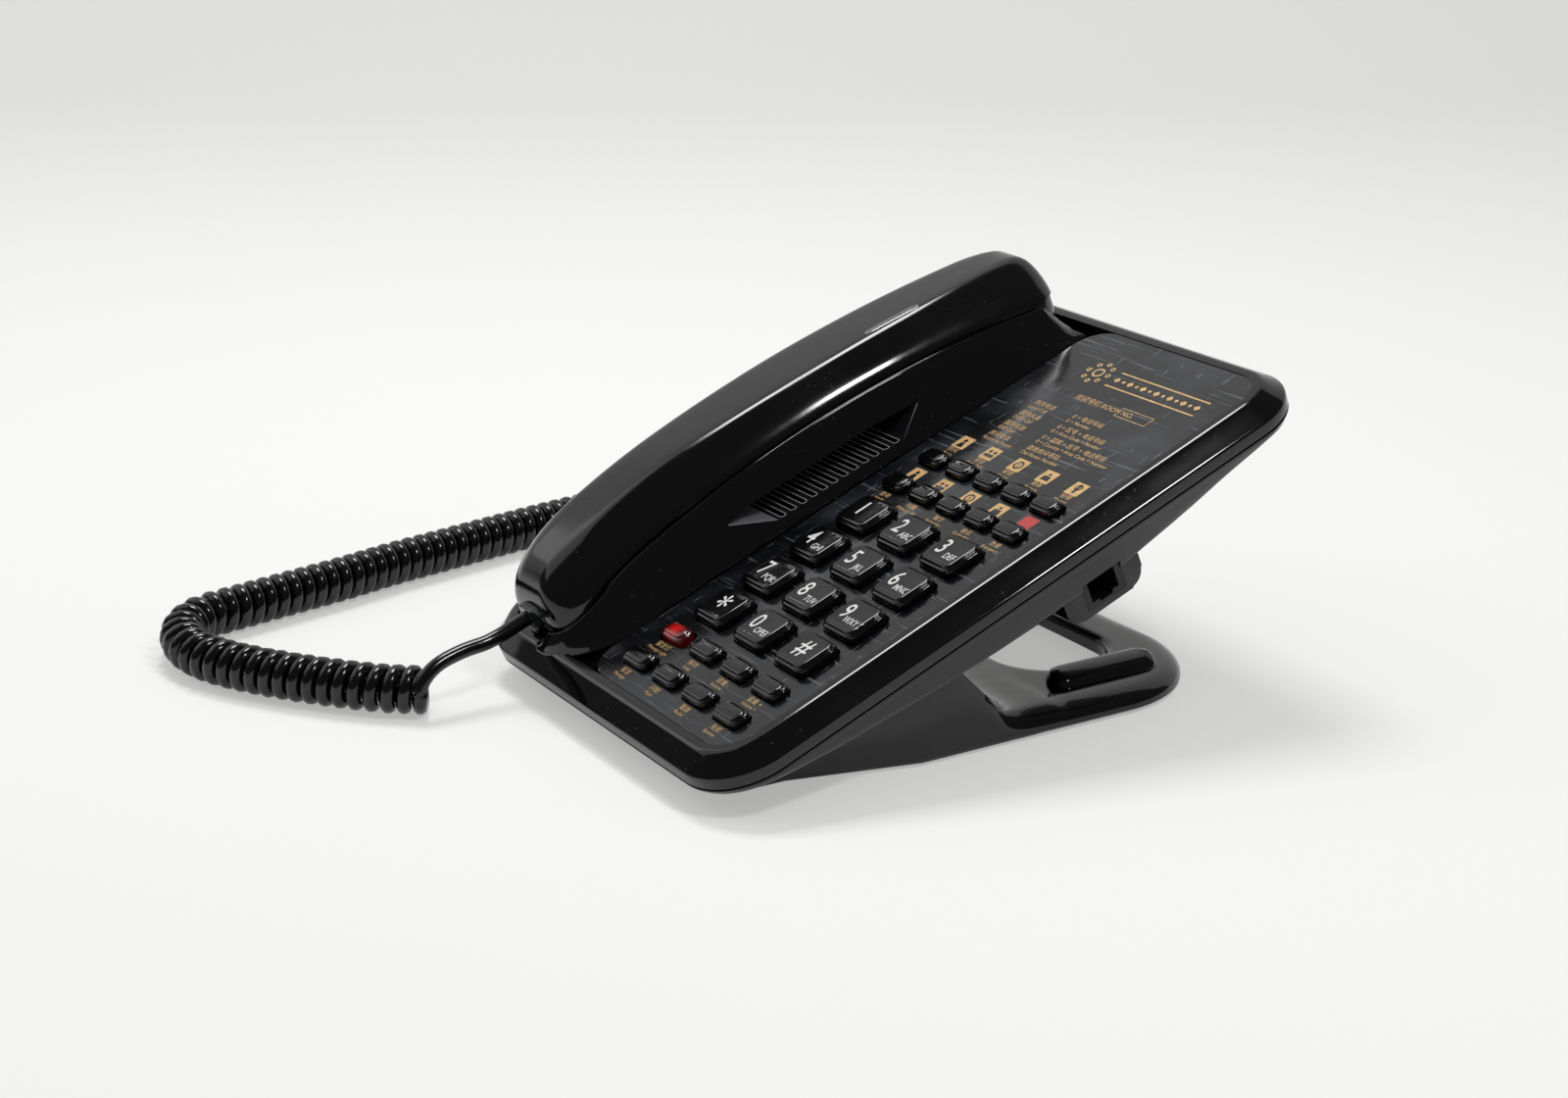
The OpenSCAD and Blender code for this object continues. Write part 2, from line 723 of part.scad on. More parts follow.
lamp_l = 20;
lamp_w = 3;
lamp_y = hs_front + 140.5;
lamp_x = hs_cx + hs_w / 2 - back_in - 3.1;
hs_screw_y = [hs_front + cup_l - 9, hs_rear - cup_l + 5];
hs_boss_r = 3.4;

module handset_back() {
    color(housing_col) on_face() difference() {
        union() {
            difference() {
                back_form(0);
                back_form(hs_wall);
            }
            intersection() {
                back_form(0);
                for (y = hs_screw_y) translate([hs_cx, y, 0]) cylinder(r = hs_boss_r, h = 50);
            }
        }
        translate([lamp_x, lamp_y, 0]) block(lamp_w + 0.2, lamp_l + 0.2, 1.4, seam_top, 60);
        for (y = hs_screw_y) translate([hs_cx, y, -5])
            cylinder(r = screw_r + slide, h = seam_z(y) + 12);
    }
}

module handset_lamp_lens() {
    color("#d8c8c8") on_face() intersection() {
        translate([lamp_x, lamp_y, 0]) block(lamp_w, lamp_l, 1.3, seam_top, 60);
        difference() {
            translate([0, 0, 0.2]) across(hs_cx - hs_w / 2, hs_cx + hs_w / 2) back_side(0);
            translate([0, 0, -0.2]) across(hs_cx - hs_w, hs_cx + hs_w) back_side(hs_wall);
        }
    }
}

// Side view of the front shell: two cups and an arched grip, walls moved in by t
module front_side(t) {
    difference() {
        intersection() {
            under_seam(t > 0 ? -1 : 0.05);
            translate([hs_cy, 20 + hs_bottom + t]) rounded(hs_l - 1.2 - 2 * t, 40, 4);
        }
        intersection() {
            translate([0, t]) under_seam(grip_h);
            polygon([[hs_front + cup_l - 1 - t, hs_bottom - 5], [hs_front + cup_l + 9 - t, 30],
                [hs_rear - cup_l - 9 + t, 30], [hs_rear - cup_l + 1 + t, hs_bottom - 5]]);
        }
    }
}

ear_y = hs_rear - 22;
ear_d = 26;
mouth_y = hs_front + 22;
hs_jack_z = 5.4;
hs_jack_y = hs_front + 0.8;
hs_socket_t = socket_t - 0.2;

module front_form(t) {
    intersection() {
        across(hs_cx - hs_w / 2, hs_cx + hs_w / 2) front_side(t);
        translate([hs_cx, hs_cy, 0]) block(hs_w - 1.2 - 2 * t, hs_l - 1.2 - 2 * t, 8, -5, 50);
    }
}

module handset_front() {
    color(housing_col) on_face() difference() {
        union() {
            difference() {
                front_form(0);
                front_form(hs_wall);
            }
            intersection() {
                front_form(0);
                for (y = hs_screw_y) translate([hs_cx, y, -5]) cylinder(r = hs_boss_r, h = 50);
            }
        }
        for (i = [-2 : 2]) {
            translate([hs_cx, ear_y + i * 4, 0]) block(12 - 2 * abs(i), 1.6, 0.78, -5, 1);
            translate([hs_cx, mouth_y + i * 3, 0]) block(8 - 2 * abs(i), 1.2, 0.58, -5, 1);
        }
        for (y = hs_screw_y) translate([hs_cx, y, -5]) {
            cylinder(r = screw_r + 2 * slide, h = 40);
            cylinder(r = screw_head_r + 0.4, h = hs_bottom + 5 + 4);
        }
        translate([hs_cx, hs_jack_y + socket_l / 2 - 2, hs_jack_z])
            cube([socket_w - 2 + seat, socket_l + 4 + 2 * seat, hs_socket_t + seat], center = true);
    }
}

module receiver_capsule() {
    color("#3c3d42") on_face() translate([hs_cx, ear_y, hs_bottom + hs_wall + 0.1]) {
        cylinder(d = ear_d, h = 5);
        cylinder(d = ear_d - 8, h = 8);
    }
}

module handset_microphone() {
    color(metal_col) on_face() translate([hs_cx, mouth_y, hs_bottom + hs_wall + 0.1])
        cylinder(d = 9.7, h = 5);
}

module handset_socket() {
    color("#1d1e22") on_face() translate([hs_cx, hs_jack_y, hs_jack_z]) rotate([0, 0, -90])
        intersection() {
            socket_block(jack_w);
            cube([4 * socket_l, socket_w - 2, hs_socket_t], center = true);
        }
}

grip_weight_w = 20;
grip_weight_l = 60;
grip_weight_t = 4;

module handset_weight() {
    color(metal_col) on_face() translate([hs_cx, hs_cy, 0])
        block(grip_weight_w, grip_weight_l, 1, seam_top - grip_h + hs_wall + 0.1,
            seam_top - grip_h + hs_wall + 0.1 + grip_weight_t);
}

module handset_screws() {
    color(metal_col) on_face() for (y = hs_screw_y) translate([hs_cx, y, hs_bottom + 4]) {
        translate([0, 0, -screw_head_t - 0.02]) cylinder(r = screw_head_r, h = screw_head_t);
        translate([0, 0, -screw_head_t])
            cylinder(r = screw_r, h = seam_z(y) + 5 - hs_bottom - 4 + screw_head_t);
    }
}

// ---- Cord ----

plug_w = jack_w - 0.3;
plug_h = jack_h - 0.3;
plug_in = jack_d - 0.6;
plug_out = 3;
plug_z = jack_lift;
lead_gap = 0.02;

// Plug pushed in along -x from the mouth of its socket at x = 0
module plug_form() {
    translate([-plug_in, -plug_w / 2, plug_z - plug_h / 2]) cube([plug_in + plug_out, plug_w, plug_h]);
}

module cord_plug_base() {
    color("#c9ccd0") on_face() translate([-body_w / 2 + lobe_out, lobe_y, socket_z])
        rotate([0, 0, 180]) plug_form();
}

module cord_plug_handset() {
    color("#c9ccd0") on_face() translate([hs_cx, hs_jack_y, hs_jack_z]) rotate([0, 0, -90])
        plug_form();
}

// A tube swept along a route: rings of points with a level sideways axis
function unit(v) = v / norm(v);
function heading(route, i) = unit(route[min(i + 1, len(route) - 1)] - route[max(i - 1, 0)]);
function ring(route, i, r, n) =
    let (t = heading(route, i), side = unit(cross(t, [0, 0, 1])), up = cross(side, t))
    [for (k = [0 : n - 1]) route[i] + r * (cos(360 * k / n) * side + sin(360 * k / n) * up)];

module tube(route, r, n) {
    rings = len(route);
    points = [for (i = [0 : rings - 1]) each ring(route, i, r, n)];
    sides = [for (i = [0 : rings - 2], k = [0 : n - 1])
        [i * n + k, i * n + (k + 1) % n, (i + 1) * n + (k + 1) % n, (i + 1) * n + k]];
    first = [[for (k = [0 : n - 1]) n - 1 - k]];
    last = [[for (k = [0 : n - 1]) (rings - 1) * n + k]];
    polyhedron(points, concat(sides, first, last), convexity = 6);
}

// Where each lead leaves its plug, going straight out for a distance d
function base_exit(d) = face_to_table([-body_w / 2 + lobe_out - plug_out - d, lobe_y, socket_z + plug_z]);
function handset_exit(d) = face_to_table([hs_cx, hs_jack_y - plug_out - d, hs_jack_z + plug_z]);

// Middle line of the coil on the table, from the handset's end round to behind the body
coil_z = coil_d / 2 + 0.05;
coil_route = [for (p = [[-46, -61], [-53, -70], [-64, -80], [-77, -90], [-91, -99], [-104, -105],
    [-117, -107], [-130, -104], [-140, -95], [-144, -80], [-148, -61], [-152, -42], [-157, -23],
    [-161, -3], [-165, 17], [-169, 38], [-172, 58], [-171, 76], [-163, 92], [-149, 102], [-133, 105]])
    [p[0], p[1], coil_z]];
handset_lead_route = [handset_exit(lead_gap), handset_exit(3.5), handset_exit(8),
    [-44.6, -41, 18.4], [-44.4, -48, 17], [-44.6, -54.5, 14.6], [-45.9, -60.4, 11]];
base_lead_route = [base_exit(0), base_exit(4), [-84, 97, 43], [-91, 97.6, 37.5], [-98, 98.6, 29.5],
    [-105, 100.2, 21.5], [-113, 102.2, 14.5], [-122, 104, 9.8], [-132.9, 105, 8]];

module cord_coil() {
    color("#0c0c0e") tube(coil_route, coil_d / 2, 12);
}

module cord_handset_lead() {
    color("#0c0c0e") tube(handset_lead_route, cord_d / 2, 8);
}

module cord_base_lead() {
    color("#0c0c0e") tube(base_lead_route, cord_d / 2, 8);
}

stand_base();
stand_feet();
lower_housing();
upper_housing();
face_plate();
for (row = [0 : 3], i = [0 : 2])
    dial_key(row, i);
for (row = [0 : 1], i = [0 : 4])
    memory_key(row, i);
for (row = [0 : 1], i = [row : 3])
    function_key(row, i);
message_light_lens();
message_led();
keypad_mat();
main_board();
base_microphone();
sounder();
hook_plunger();
hook_switch();
line_socket();
handset_cord_socket();
ballast_weight();
housing_screws();
handset_back();
handset_front();
handset_lamp_lens();
receiver_capsule();
handset_microphone();
handset_socket();
handset_weight();
handset_screws();
cord_plug_handset();
cord_handset_lead();
cord_coil();
cord_base_lead();
cord_plug_base();
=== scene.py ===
# Looks of the push-button desk telephone: glossy black housing on a clip-on stand, printed
# key field, arched handset and a curly cord on a plain pale floor. Sizes are in mm on the
# sloping face (x across, y up the face from its front edge, z out of it), turned into metres.
import math

import bmesh
import bpy
from mathutils import Matrix, Vector


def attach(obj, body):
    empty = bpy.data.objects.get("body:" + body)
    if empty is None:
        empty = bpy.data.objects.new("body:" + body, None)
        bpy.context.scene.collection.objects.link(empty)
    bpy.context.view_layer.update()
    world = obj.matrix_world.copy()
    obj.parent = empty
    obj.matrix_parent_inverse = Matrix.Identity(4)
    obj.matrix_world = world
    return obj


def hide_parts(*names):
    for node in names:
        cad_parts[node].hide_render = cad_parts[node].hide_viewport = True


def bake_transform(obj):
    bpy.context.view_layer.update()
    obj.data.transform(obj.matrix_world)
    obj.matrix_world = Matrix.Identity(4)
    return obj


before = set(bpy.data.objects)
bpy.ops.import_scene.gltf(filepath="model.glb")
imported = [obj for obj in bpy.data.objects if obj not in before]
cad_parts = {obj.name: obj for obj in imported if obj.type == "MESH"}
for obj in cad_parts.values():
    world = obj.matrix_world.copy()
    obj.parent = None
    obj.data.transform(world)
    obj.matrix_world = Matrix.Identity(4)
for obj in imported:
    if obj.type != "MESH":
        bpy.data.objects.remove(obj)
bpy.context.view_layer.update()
scene = bpy.context.scene
scene.view_settings.view_transform = "Standard"
MM = 0.001

# Camera, off the telephone's right side and a little to its front, looking down on its face
camera_data = bpy.data.cameras.new("camera")
camera_data.lens = 63
camera_data.sensor_width = 36
camera = bpy.data.objects.new("camera", camera_data)
right = Vector((0.5207, 0.8537, -0.0052))
up = Vector((-0.2675, 0.1689, 0.9486))
back = right.cross(up)
camera.matrix_world = Matrix.Translation((0.6479, -0.3593, 0.2997)) @ Matrix(
    (right, up, back)).transposed().to_4x4()
scene.collection.objects.link(camera)
scene.camera = camera

# The sloping face's frame, and the table's frame, both drawn in mm
TILT = math.radians(22.4)
FACE = Matrix.Translation((0, -0.0328, 0.0152)) @ Matrix.Rotation(TILT, 4, "X") @ Matrix.Scale(MM, 4)
TABLE = Matrix.Scale(MM, 4)


def srgb(code):
    values = [int(code[i:i + 2], 16) / 255 for i in (1, 3, 5)]
    return [v / 12.92 if v < 0.04045 else ((v + 0.055) / 1.055) ** 2.4 for v in values] + [1]


def material(name, code, roughness, **inputs):
    made = bpy.data.materials.new(name)
    made.use_nodes = True
    shader = made.node_tree.nodes["Principled BSDF"]
    shader.inputs["Base Color"].default_value = srgb(code)
    shader.inputs["Roughness"].default_value = roughness
    for key, value in inputs.items():
        shader.inputs[key.replace("_", " ")].default_value = value
    return made


def add(made, kind, **inputs):
    """Add a shader node; inputs are its settings, its inputs by name, or by number as i0, i1."""
    new = made.node_tree.nodes.new("ShaderNode" + kind)
    for key, value in inputs.items():
        if hasattr(new, key):
            setattr(new, key, value)
            continue
        numbered = key[0] == "i" and key[1:].isdigit()
        socket = new.inputs[int(key[1:]) if numbered else key.replace("_", " ")]
        if isinstance(value, bpy.types.NodeSocket):
            made.node_tree.links.new(value, socket)
        else:
            socket.default_value = value
    return new


def shader_of(made):
    return made.node_tree.nodes["Principled BSDF"]


def join(made, output, name):
    made.node_tree.links.new(output, shader_of(made).inputs[name])


# Glossy black ABS of the housings: faint long scuffs, dust and a slightly wavy moulded skin
def glossy_plastic(name, code, low, high, scratch, dust):
    made = material(name, code, low, Specular_IOR_Level=0.5)
    place = add(made, "TexCoord").outputs["Object"]
    cloud = add(made, "TexNoise", Vector=place, Scale=22, Detail=4, Roughness=0.6).outputs["Fac"]
    stretch = add(made, "Mapping", Vector=place, Scale=(60, 900, 400), Rotation=(0.3, 0.2, 0.5))
    hair = add(made, "TexNoise", Vector=stretch.outputs["Vector"], Scale=1, Detail=6, Roughness=0.75)
    hair = add(made, "MapRange", Value=hair.outputs["Fac"], From_Min=0.62, From_Max=0.74).outputs["Result"]
    rough = add(made, "MapRange", Value=cloud, From_Min=0.35, From_Max=0.7, To_Min=low, To_Max=high)
    rough = add(made, "Math", operation="MULTIPLY_ADD", i0=hair, i1=scratch, i2=rough.outputs["Result"])
    join(made, rough.outputs["Value"], "Roughness")
    speck = add(made, "TexVoronoi", Vector=place, Scale=420).outputs["Distance"]
    speck = add(made, "MapRange", Value=speck, From_Min=0.1, From_Max=0.04).outputs["Result"]
    patch = add(made, "MapRange", Value=cloud, From_Min=0.5, From_Max=0.62, To_Max=dust).outputs["Result"]
    speck = add(made, "Math", operation="MULTIPLY", i0=speck, i1=patch).outputs["Value"]
    colour = add(made, "MixRGB", Fac=speck, Color1=srgb(code), Color2=srgb("#8d8f94")).outputs["Color"]
    join(made, colour, "Base Color")
    ripple = add(made, "TexNoise", Vector=place, Scale=55, Detail=1).outputs["Fac"]
    bump = add(made, "Bump", Height=ripple, Strength=0.05, Distance=0.0004).outputs["Normal"]
    join(made, bump, "Normal")
    return made


housing = glossy_plastic("glossy black ABS", "#08080a", 0.05, 0.1, 0.12, 0.5)
handset_plastic = glossy_plastic("glossy black ABS, handled", "#08080a", 0.07, 0.16, 0.2, 0.35)
stand_plastic = glossy_plastic("glossy black ABS, stand", "#070708", 0.07, 0.13, 0.1, 0.4)
key_plastic = glossy_plastic("black key plastic", "#060607", 0.05, 0.1, 0.15, 0.4)
dark = glossy_plastic("matt black plastic", "#0d0d0e", 0.42, 0.55, 0.1, 0.3)
cord_plastic = glossy_plastic("black cord jacket", "#080808", 0.14, 0.2, 0.05, 0.2)

# lighter grey for the mouth's walls and floor: painted reflected light on the same black plastic
recess = glossy_plastic("satin black ABS of the sound mouth", "#1f1f22", 0.25, 0.35, 0.1, 0.3)
# light grey for the slots' rims and the handset lamp's frame: a painted highlight on their edges
edge_highlight_grey = material("painted highlight on edges", "#b4b4b8", 0.35)
# mid grey for the mouth's end facets: a painted reflection
facet_reflection_grey = glossy_plastic("painted reflection on the mouth's end facets", "#808086", 0.25, 0.35, 0.2, 0.3)

# Printed acrylic of the face plate, hazed blue-grey by wear, with crossing scratches
plate = material("scuffed printed acrylic", "#111217", 0.25, Coat_Weight=0.15, Coat_Roughness=0.2)
place = add(plate, "TexCoord").outputs["Object"]
haze = add(plate, "TexNoise", Vector=place, Scale=26, Detail=7, Roughness=0.62).outputs["Fac"]
haze = add(plate, "MapRange", Value=haze, From_Min=0.48, From_Max=0.85).outputs["Result"]
scratches = None
for turn, scale in (((0.4, 0.1, 0.4), (24, 750, 300)), ((0.4, 0.2, 1.9), (700, 30, 300)),
                    ((0.4, 0, -0.7), (30, 950, 400))):
    moved = add(plate, "Mapping", Vector=place, Scale=scale, Rotation=turn).outputs["Vector"]
    line = add(plate, "TexNoise", Vector=moved, Scale=1, Detail=3, Roughness=0.6).outputs["Fac"]
    line = add(plate, "MapRange", Value=line, From_Min=0.64, From_Max=0.7).outputs["Result"]
    if scratches is None:
        scratches = line
    else:
        scratches = add(plate, "Math", operation="MAXIMUM", i0=scratches, i1=line).outputs["Value"]
wear = add(plate, "Math", operation="MULTIPLY_ADD", i0=scratches, i1=0.5, i2=haze, use_clamp=True)
wear = wear.outputs["Value"]
tone = add(plate, "MapRange", Value=wear, To_Min=0.0, To_Max=0.3).outputs["Result"]
tone = add(plate, "MixRGB", Fac=tone, Color1=srgb("#0a0b0e"), Color2=srgb("#454a58")).outputs["Color"]
worn = add(plate, "Math", operation="MULTIPLY", i0=scratches, i1=0.15).outputs["Value"]
tone = add(plate, "MixRGB", Fac=worn, Color1=tone, Color2=srgb("#a4aab8")).outputs["Color"]
join(plate, tone, "Base Color")
join(plate, add(plate, "MapRange", Value=wear, To_Min=0.12, To_Max=0.4).outputs["Result"], "Roughness")


def noise(made, scale, detail):
    """Fine noise in the object's own space."""
    space = add(made, "TexCoord").outputs["Object"]
    return add(made, "TexNoise", Vector=space, Scale=scale, Detail=detail).outputs["Fac"]


def grainy(made, scale, detail, low, high):
    """Let the base colour wander between two tones."""
    grain = noise(made, scale, detail)
    mixed = add(made, "MixRGB", Fac=grain, Color1=srgb(low), Color2=srgb(high)).outputs["Color"]
    join(made, mixed, "Base Color")


# Screen prints, lenses and the small parts' materials
gold = material("gold screen print", "#b8925a", 0.45, Metallic=0.35)
grainy(gold, 900, 3, "#8d6b3c", "#dcb77c")
white = material("white screen print", "#dcdcda", 0.5)
grainy(white, 1200, 3, "#b4b4b4", "#f4f4f2")
red_print = material("red screen print", "#b01c1c", 0.5)
lens_red = material("red translucent lens", "#240103", 0.1, Emission_Strength=0.9, Coat_Weight=0.5)
LENS_CORE = (0.002, -0.0037, 0.0307)
place = add(lens_red, "TexCoord").outputs["Object"]
glow = add(lens_red, "TexNoise", Vector=place, Scale=260, Detail=2).outputs["Fac"]
spot = add(lens_red, "VectorMath", operation="DISTANCE", i0=place, i1=LENS_CORE).outputs["Value"]
core = add(lens_red, "MapRange", From_Min=0.0006, From_Max=0.0042, To_Min=1.0, To_Max=0.02, Value=spot)
lit = add(lens_red, "MixRGB", Fac=glow, Color1=srgb("#ff2418"), Color2=srgb("#4a0204")).outputs["Color"]
lit = add(lens_red, "MixRGB", Fac=core.outputs["Result"], Color1=srgb("#1c0001"), Color2=lit).outputs["Color"]
join(lens_red, lit, "Emission Color")
lamp_clear = material("smoked lamp lens", "#4a3a3c", 0.12, Coat_Weight=0.6)
grainy(lamp_clear, 300, 2, "#2c1316", "#7d6a6c")
clear = material("clear plug plastic", "#6d7276", 0.08, Transmission_Weight=0.9, IOR=1.5)
steel = material("zinc plated steel", "#a9acb0", 0.32, Metallic=1.0)
rubber = material("black rubber", "#1b1b1d", 0.75)
bump = add(rubber, "Bump", Height=noise(rubber, 700, 4), Strength=0.3, Distance=0.0003).outputs["Normal"]
join(rubber, bump, "Normal")
board_green = material("green circuit board", "#1f5a34", 0.4)


# ---- The cord: a curly lead from the base's socket, and a straight one to the handset; the coil
# lies on the table, its turns worked out along coil_route ----

def smooth(points, step):
    """A curve through points, in pieces of about step."""
    line = [Vector(p) for p in points]
    line = [line[0] * 2 - line[1]] + line + [line[-1] * 2 - line[-2]]
    out = []
    for a, b, c, d in zip(line, line[1:], line[2:], line[3:]):
        n = max(2, round((c - b).length / step))
        for k in range(n):
            t = k / n
            out.append(0.5 * (2 * b + (c - a) * t + (2 * a - 5 * b + 4 * c - d) * t * t
                              + (3 * b - 3 * c + d - a) * t ** 3))
    out.append(line[-2])
    return out


def face_point(x, y, z):
    """A point given on the sloping face, in the table's frame."""
    return FACE @ Vector((x, y, z)) / MM


coil_route = [(x, y, 7.55) for x, y in (
    (-46, -61), (-53, -70), (-64, -80), (-77, -90), (-91, -99), (-104, -105), (-117, -107),
    (-130, -104), (-140, -95), (-144, -80), (-148, -61), (-152, -42), (-157, -23), (-161, -3),
    (-165, 17), (-169, 38), (-171.8, 58), (-171, 76), (-163, 92), (-149, 102), (-133, 105))]
base_lead_route = [face_point(-73.5, 131, -21.5), face_point(-77.5, 131, -21.5), (-84, 97, 43),
                   (-91, 97.6, 37.5), (-98, 98.6, 29.5), (-105, 100.2, 21.8), (-113, 101, 17.2),
                   (-121, 100.6, 14.9), (-129, 99.8, 14.3)]
WIRE = 4.5
COIL_R = 14.8 / 2 - WIRE / 2
PITCH = 4.72
TURN = 2 * math.pi
UP = Vector((0, 0, 1))
axis = smooth(coil_route, 0.4)


def on_axis(i):
    return axis[max(0, min(i, len(axis) - 1))]


# the helix's phase at each point of the axis; where the route bends, the turns lie further apart
phases = []
phase = math.pi
for i in range(len(axis) - 1):
    a, b = on_axis(i - 14), on_axis(i + 14)
    bend = 0
    if 28 < i < len(axis) - 28:
        turned = (on_axis(i + 28) - b).normalized().angle((a - on_axis(i - 28)).normalized(), 0)
        bend = turned / max((b - a).length * 1.5, 1)
    phases.append(phase)
    phase += TURN * (axis[i + 1] - axis[i]).length / (PITCH / (1 - min(bend * (COIL_R + 0.5), 0.3)))

# about 18 points a turn, up to where a turn leaves the coil upwards
last = TURN * math.floor(phases[-1] / TURN)
count = round((last - phases[0]) / TURN * 18)
coil_points = []
index = 0
for k in range(count + 1):
    want = phases[0] + (last - phases[0]) * k / count
    while index < len(phases) - 2 and phases[index + 1] < want:
        index += 1
    t = (want - phases[index]) / (phases[index + 1] - phases[index])
    side = (on_axis(index + 20) - on_axis(index - 20)).normalized().cross(UP).normalized()
    centre = axis[index].lerp(axis[index + 1], t)
    coil_points.append(centre + COIL_R * (math.cos(want) * side + math.sin(want) * UP))
lead_in = smooth(base_lead_route + [coil_points[-1] + Vector((0.6, 0.05, 3.6)), coil_points[-1]], 2)
whole = lead_in[:-1] + coil_points[::-1]
curve = bpy.data.curves.new("curly_cord", "CURVE")
curve.dimensions = "3D"
curve.bevel_depth = WIRE / 2 * MM
curve.bevel_resolution = 3
curve.use_fill_caps = True
spline = curve.splines.new("POLY")
spline.points.add(len(whole) - 1)
for point, co in zip(spline.points, whole):
    point.co = (*(co * MM), 1)
spline.use_smooth = True
curve.materials.append(cord_plastic)
cord = bpy.data.objects.new("curly_cord", curve)
scene.collection.objects.link(cord)


def collect(name, bm, made, place, angle=40, keep=False):
    """Make an object of bm; keep leaves its faces turned as they are."""
    if not keep:
        bmesh.ops.recalc_face_normals(bm, faces=bm.faces)
    bm.transform(place)
    mesh = bpy.data.meshes.new(name)
    bm.to_mesh(mesh)
    bm.free()
    for polygon in mesh.polygons:
        polygon.use_smooth = True
    mesh.set_sharp_from_angle(angle=math.radians(angle))
    for one in made if isinstance(made, (list, tuple)) else [made]:
        mesh.materials.append(one)
    obj = bpy.data.objects.new(name, mesh)
    scene.collection.objects.link(obj)
    return obj


def tube(bm, points, r, sides):
    """A closed tube of radius r along points."""
    rings = []
    for i, point in enumerate(points):
        ahead = (points[min(i + 1, len(points) - 1)] - points[max(i - 1, 0)]).normalized()
        side = ahead.cross(UP).normalized()
        top = side.cross(ahead)
        rings.append([bm.verts.new(point + r * (math.cos(TURN * k / sides) * side
                                                + math.sin(TURN * k / sides) * top)) for k in range(sides)])
    for a, b in zip(rings, rings[1:]):
        for k in range(sides):
            bm.faces.new((a[k], a[(k + 1) % sides], b[(k + 1) % sides], b[k]))
    bm.faces.new(rings[0][::-1])
    bm.faces.new(rings[-1])


lead_route = [face_point(-44.8, 8.28, 5.9), face_point(-44.8, 4.8, 5.9), face_point(-44.8, 0.3, 5.9),
              (-44.6, -41, 18.8), (-44.2, -49, 17.8), (-43.4, -56.5, 16.0),
              (-42.4, -61.2, 13.6), coil_points[0] + Vector((-0.05, 0.4, 3.1)), coil_points[0],
              coil_points[1]]
lead_points = smooth(lead_route, 2)
bm = bmesh.new()
tube(bm, lead_points, WIRE / 2, 16)
lead = collect("handset_lead", bm, cord_plastic, TABLE)

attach(cord, "base")
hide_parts("cord_coil", "cord_base_lead")
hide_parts("cord_handset_lead")
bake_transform(lead)


# ---- Shapes shared by the housings and the handset: closed outlines stacked and capped ----

def outline(x0, x1, y0, y1, rx, ry, corner=14, side=10):
    """A rounded rectangle from its front middle, anticlockwise, mirrored left and right."""
    cx = (x0 + x1) / 2
    half = []
    steps = 6
    w = x1 - cx - rx
    for k in range(steps):
        half.append((w * k / steps, y0))
    for k in range(corner):
        a = -math.pi / 2 + math.pi / 2 * k / corner
        half.append((w + rx * math.cos(a), y0 + ry + ry * math.sin(a)))
    for k in range(side):
        half.append((w + rx, y0 + ry + (y1 - y0 - 2 * ry) * k / side))
    for k in range(corner):
        a = math.pi / 2 * k / corner
        half.append((w + rx * math.cos(a), y1 - ry + ry * math.sin(a)))
    for k in range(steps):
        half.append((w * (1 - k / steps), y1))
    half.append((0, y1))
    points = [(cx + x, y) for x, y in half]
    points += [(cx - x, y) for x, y in half[-2:0:-1]]
    return points


def stack(bm, rings):
    """Join a row of outlines into a skin, and give back their loops of vertices."""
    loops = [[bm.verts.new(p) for p in ring] for ring in rings]
    n = len(loops[0])
    for a, b in zip(loops, loops[1:]):
        for k in range(n):
            bm.faces.new((a[k], a[(k + 1) % n], b[(k + 1) % n], b[k]))
    return loops


def cap(bm, loop):
    """Close a mirrored loop with strips across it."""
    n = len(loop)
    for k in range(n // 2):
        a, b = loop[k], loop[k + 1]
        c, d = loop[(n - k - 1) % n], loop[(n - k) % n]
        corners = []
        for v in (a, b, c, d):
            if v not in corners:
                corners.append(v)
        if len(corners) > 2:
            bm.faces.new(corners)


# ---- Upper housing: rim, wells' floors, the ridge with its sound mouth, the cradle's middle ----

BODY = (-74.5, 74.5, 0, 215)


def body_ring(inset, z, front=0, rear=0, r=20):
    """The body's outline at height z, drawn in by inset, and further at its front and rear."""
    r = max(r - inset, 3)
    points = outline(BODY[0] + inset, BODY[1] - inset, inset + front, BODY[3] - inset - rear, r, r)
    return [(x, y, z) for x, y in points]


# the rim's section, as inset and height: parting line, side, chamfer, rounded edge, flat top, inner wall
rim_line = [(1.2, -8.3), (0.35, -8.45), (0.05, -8.25), (0, -7.9), (0, -6.6), (0, -5.4), (0.06, -5.0),
            (0.25, -4.7), (0.55, -4.45), (2.0, -3.15), (3.6, -1.75), (4.6, -0.87), (5.0, -0.53),
            (5.25, -0.34), (5.5, -0.18), (5.75, -0.06), (6.1, 0.06), (6.5, 0.14), (7.0, 0.17),
            (8.72, 0.17), (8.78, 0.03), (8.8, -0.3), (8.8, -1.3), (8.8, -3.3)]
bm = bmesh.new()
stack(bm, [body_ring(inset, z) for inset, z in rim_line])
rim = collect("upper_rim", bm, housing, FACE, 60)


def box_mesh(bm, x0, x1, y0, y1, z0, z1):
    made = bmesh.ops.create_cube(bm, size=1)
    bmesh.ops.scale(bm, vec=(x1 - x0, y1 - y0, z1 - z0), verts=made["verts"])
    bmesh.ops.translate(bm, vec=((x0 + x1) / 2, (y0 + y1) / 2, (z0 + z1) / 2), verts=made["verts"])


# floor of the handset's well, from the rim to the ridge
bm = bmesh.new()
box_mesh(bm, -66.2, -14.2, 8.9, 206.1, -5.2, -3)
floor = collect("well_floor", bm, housing, FACE)


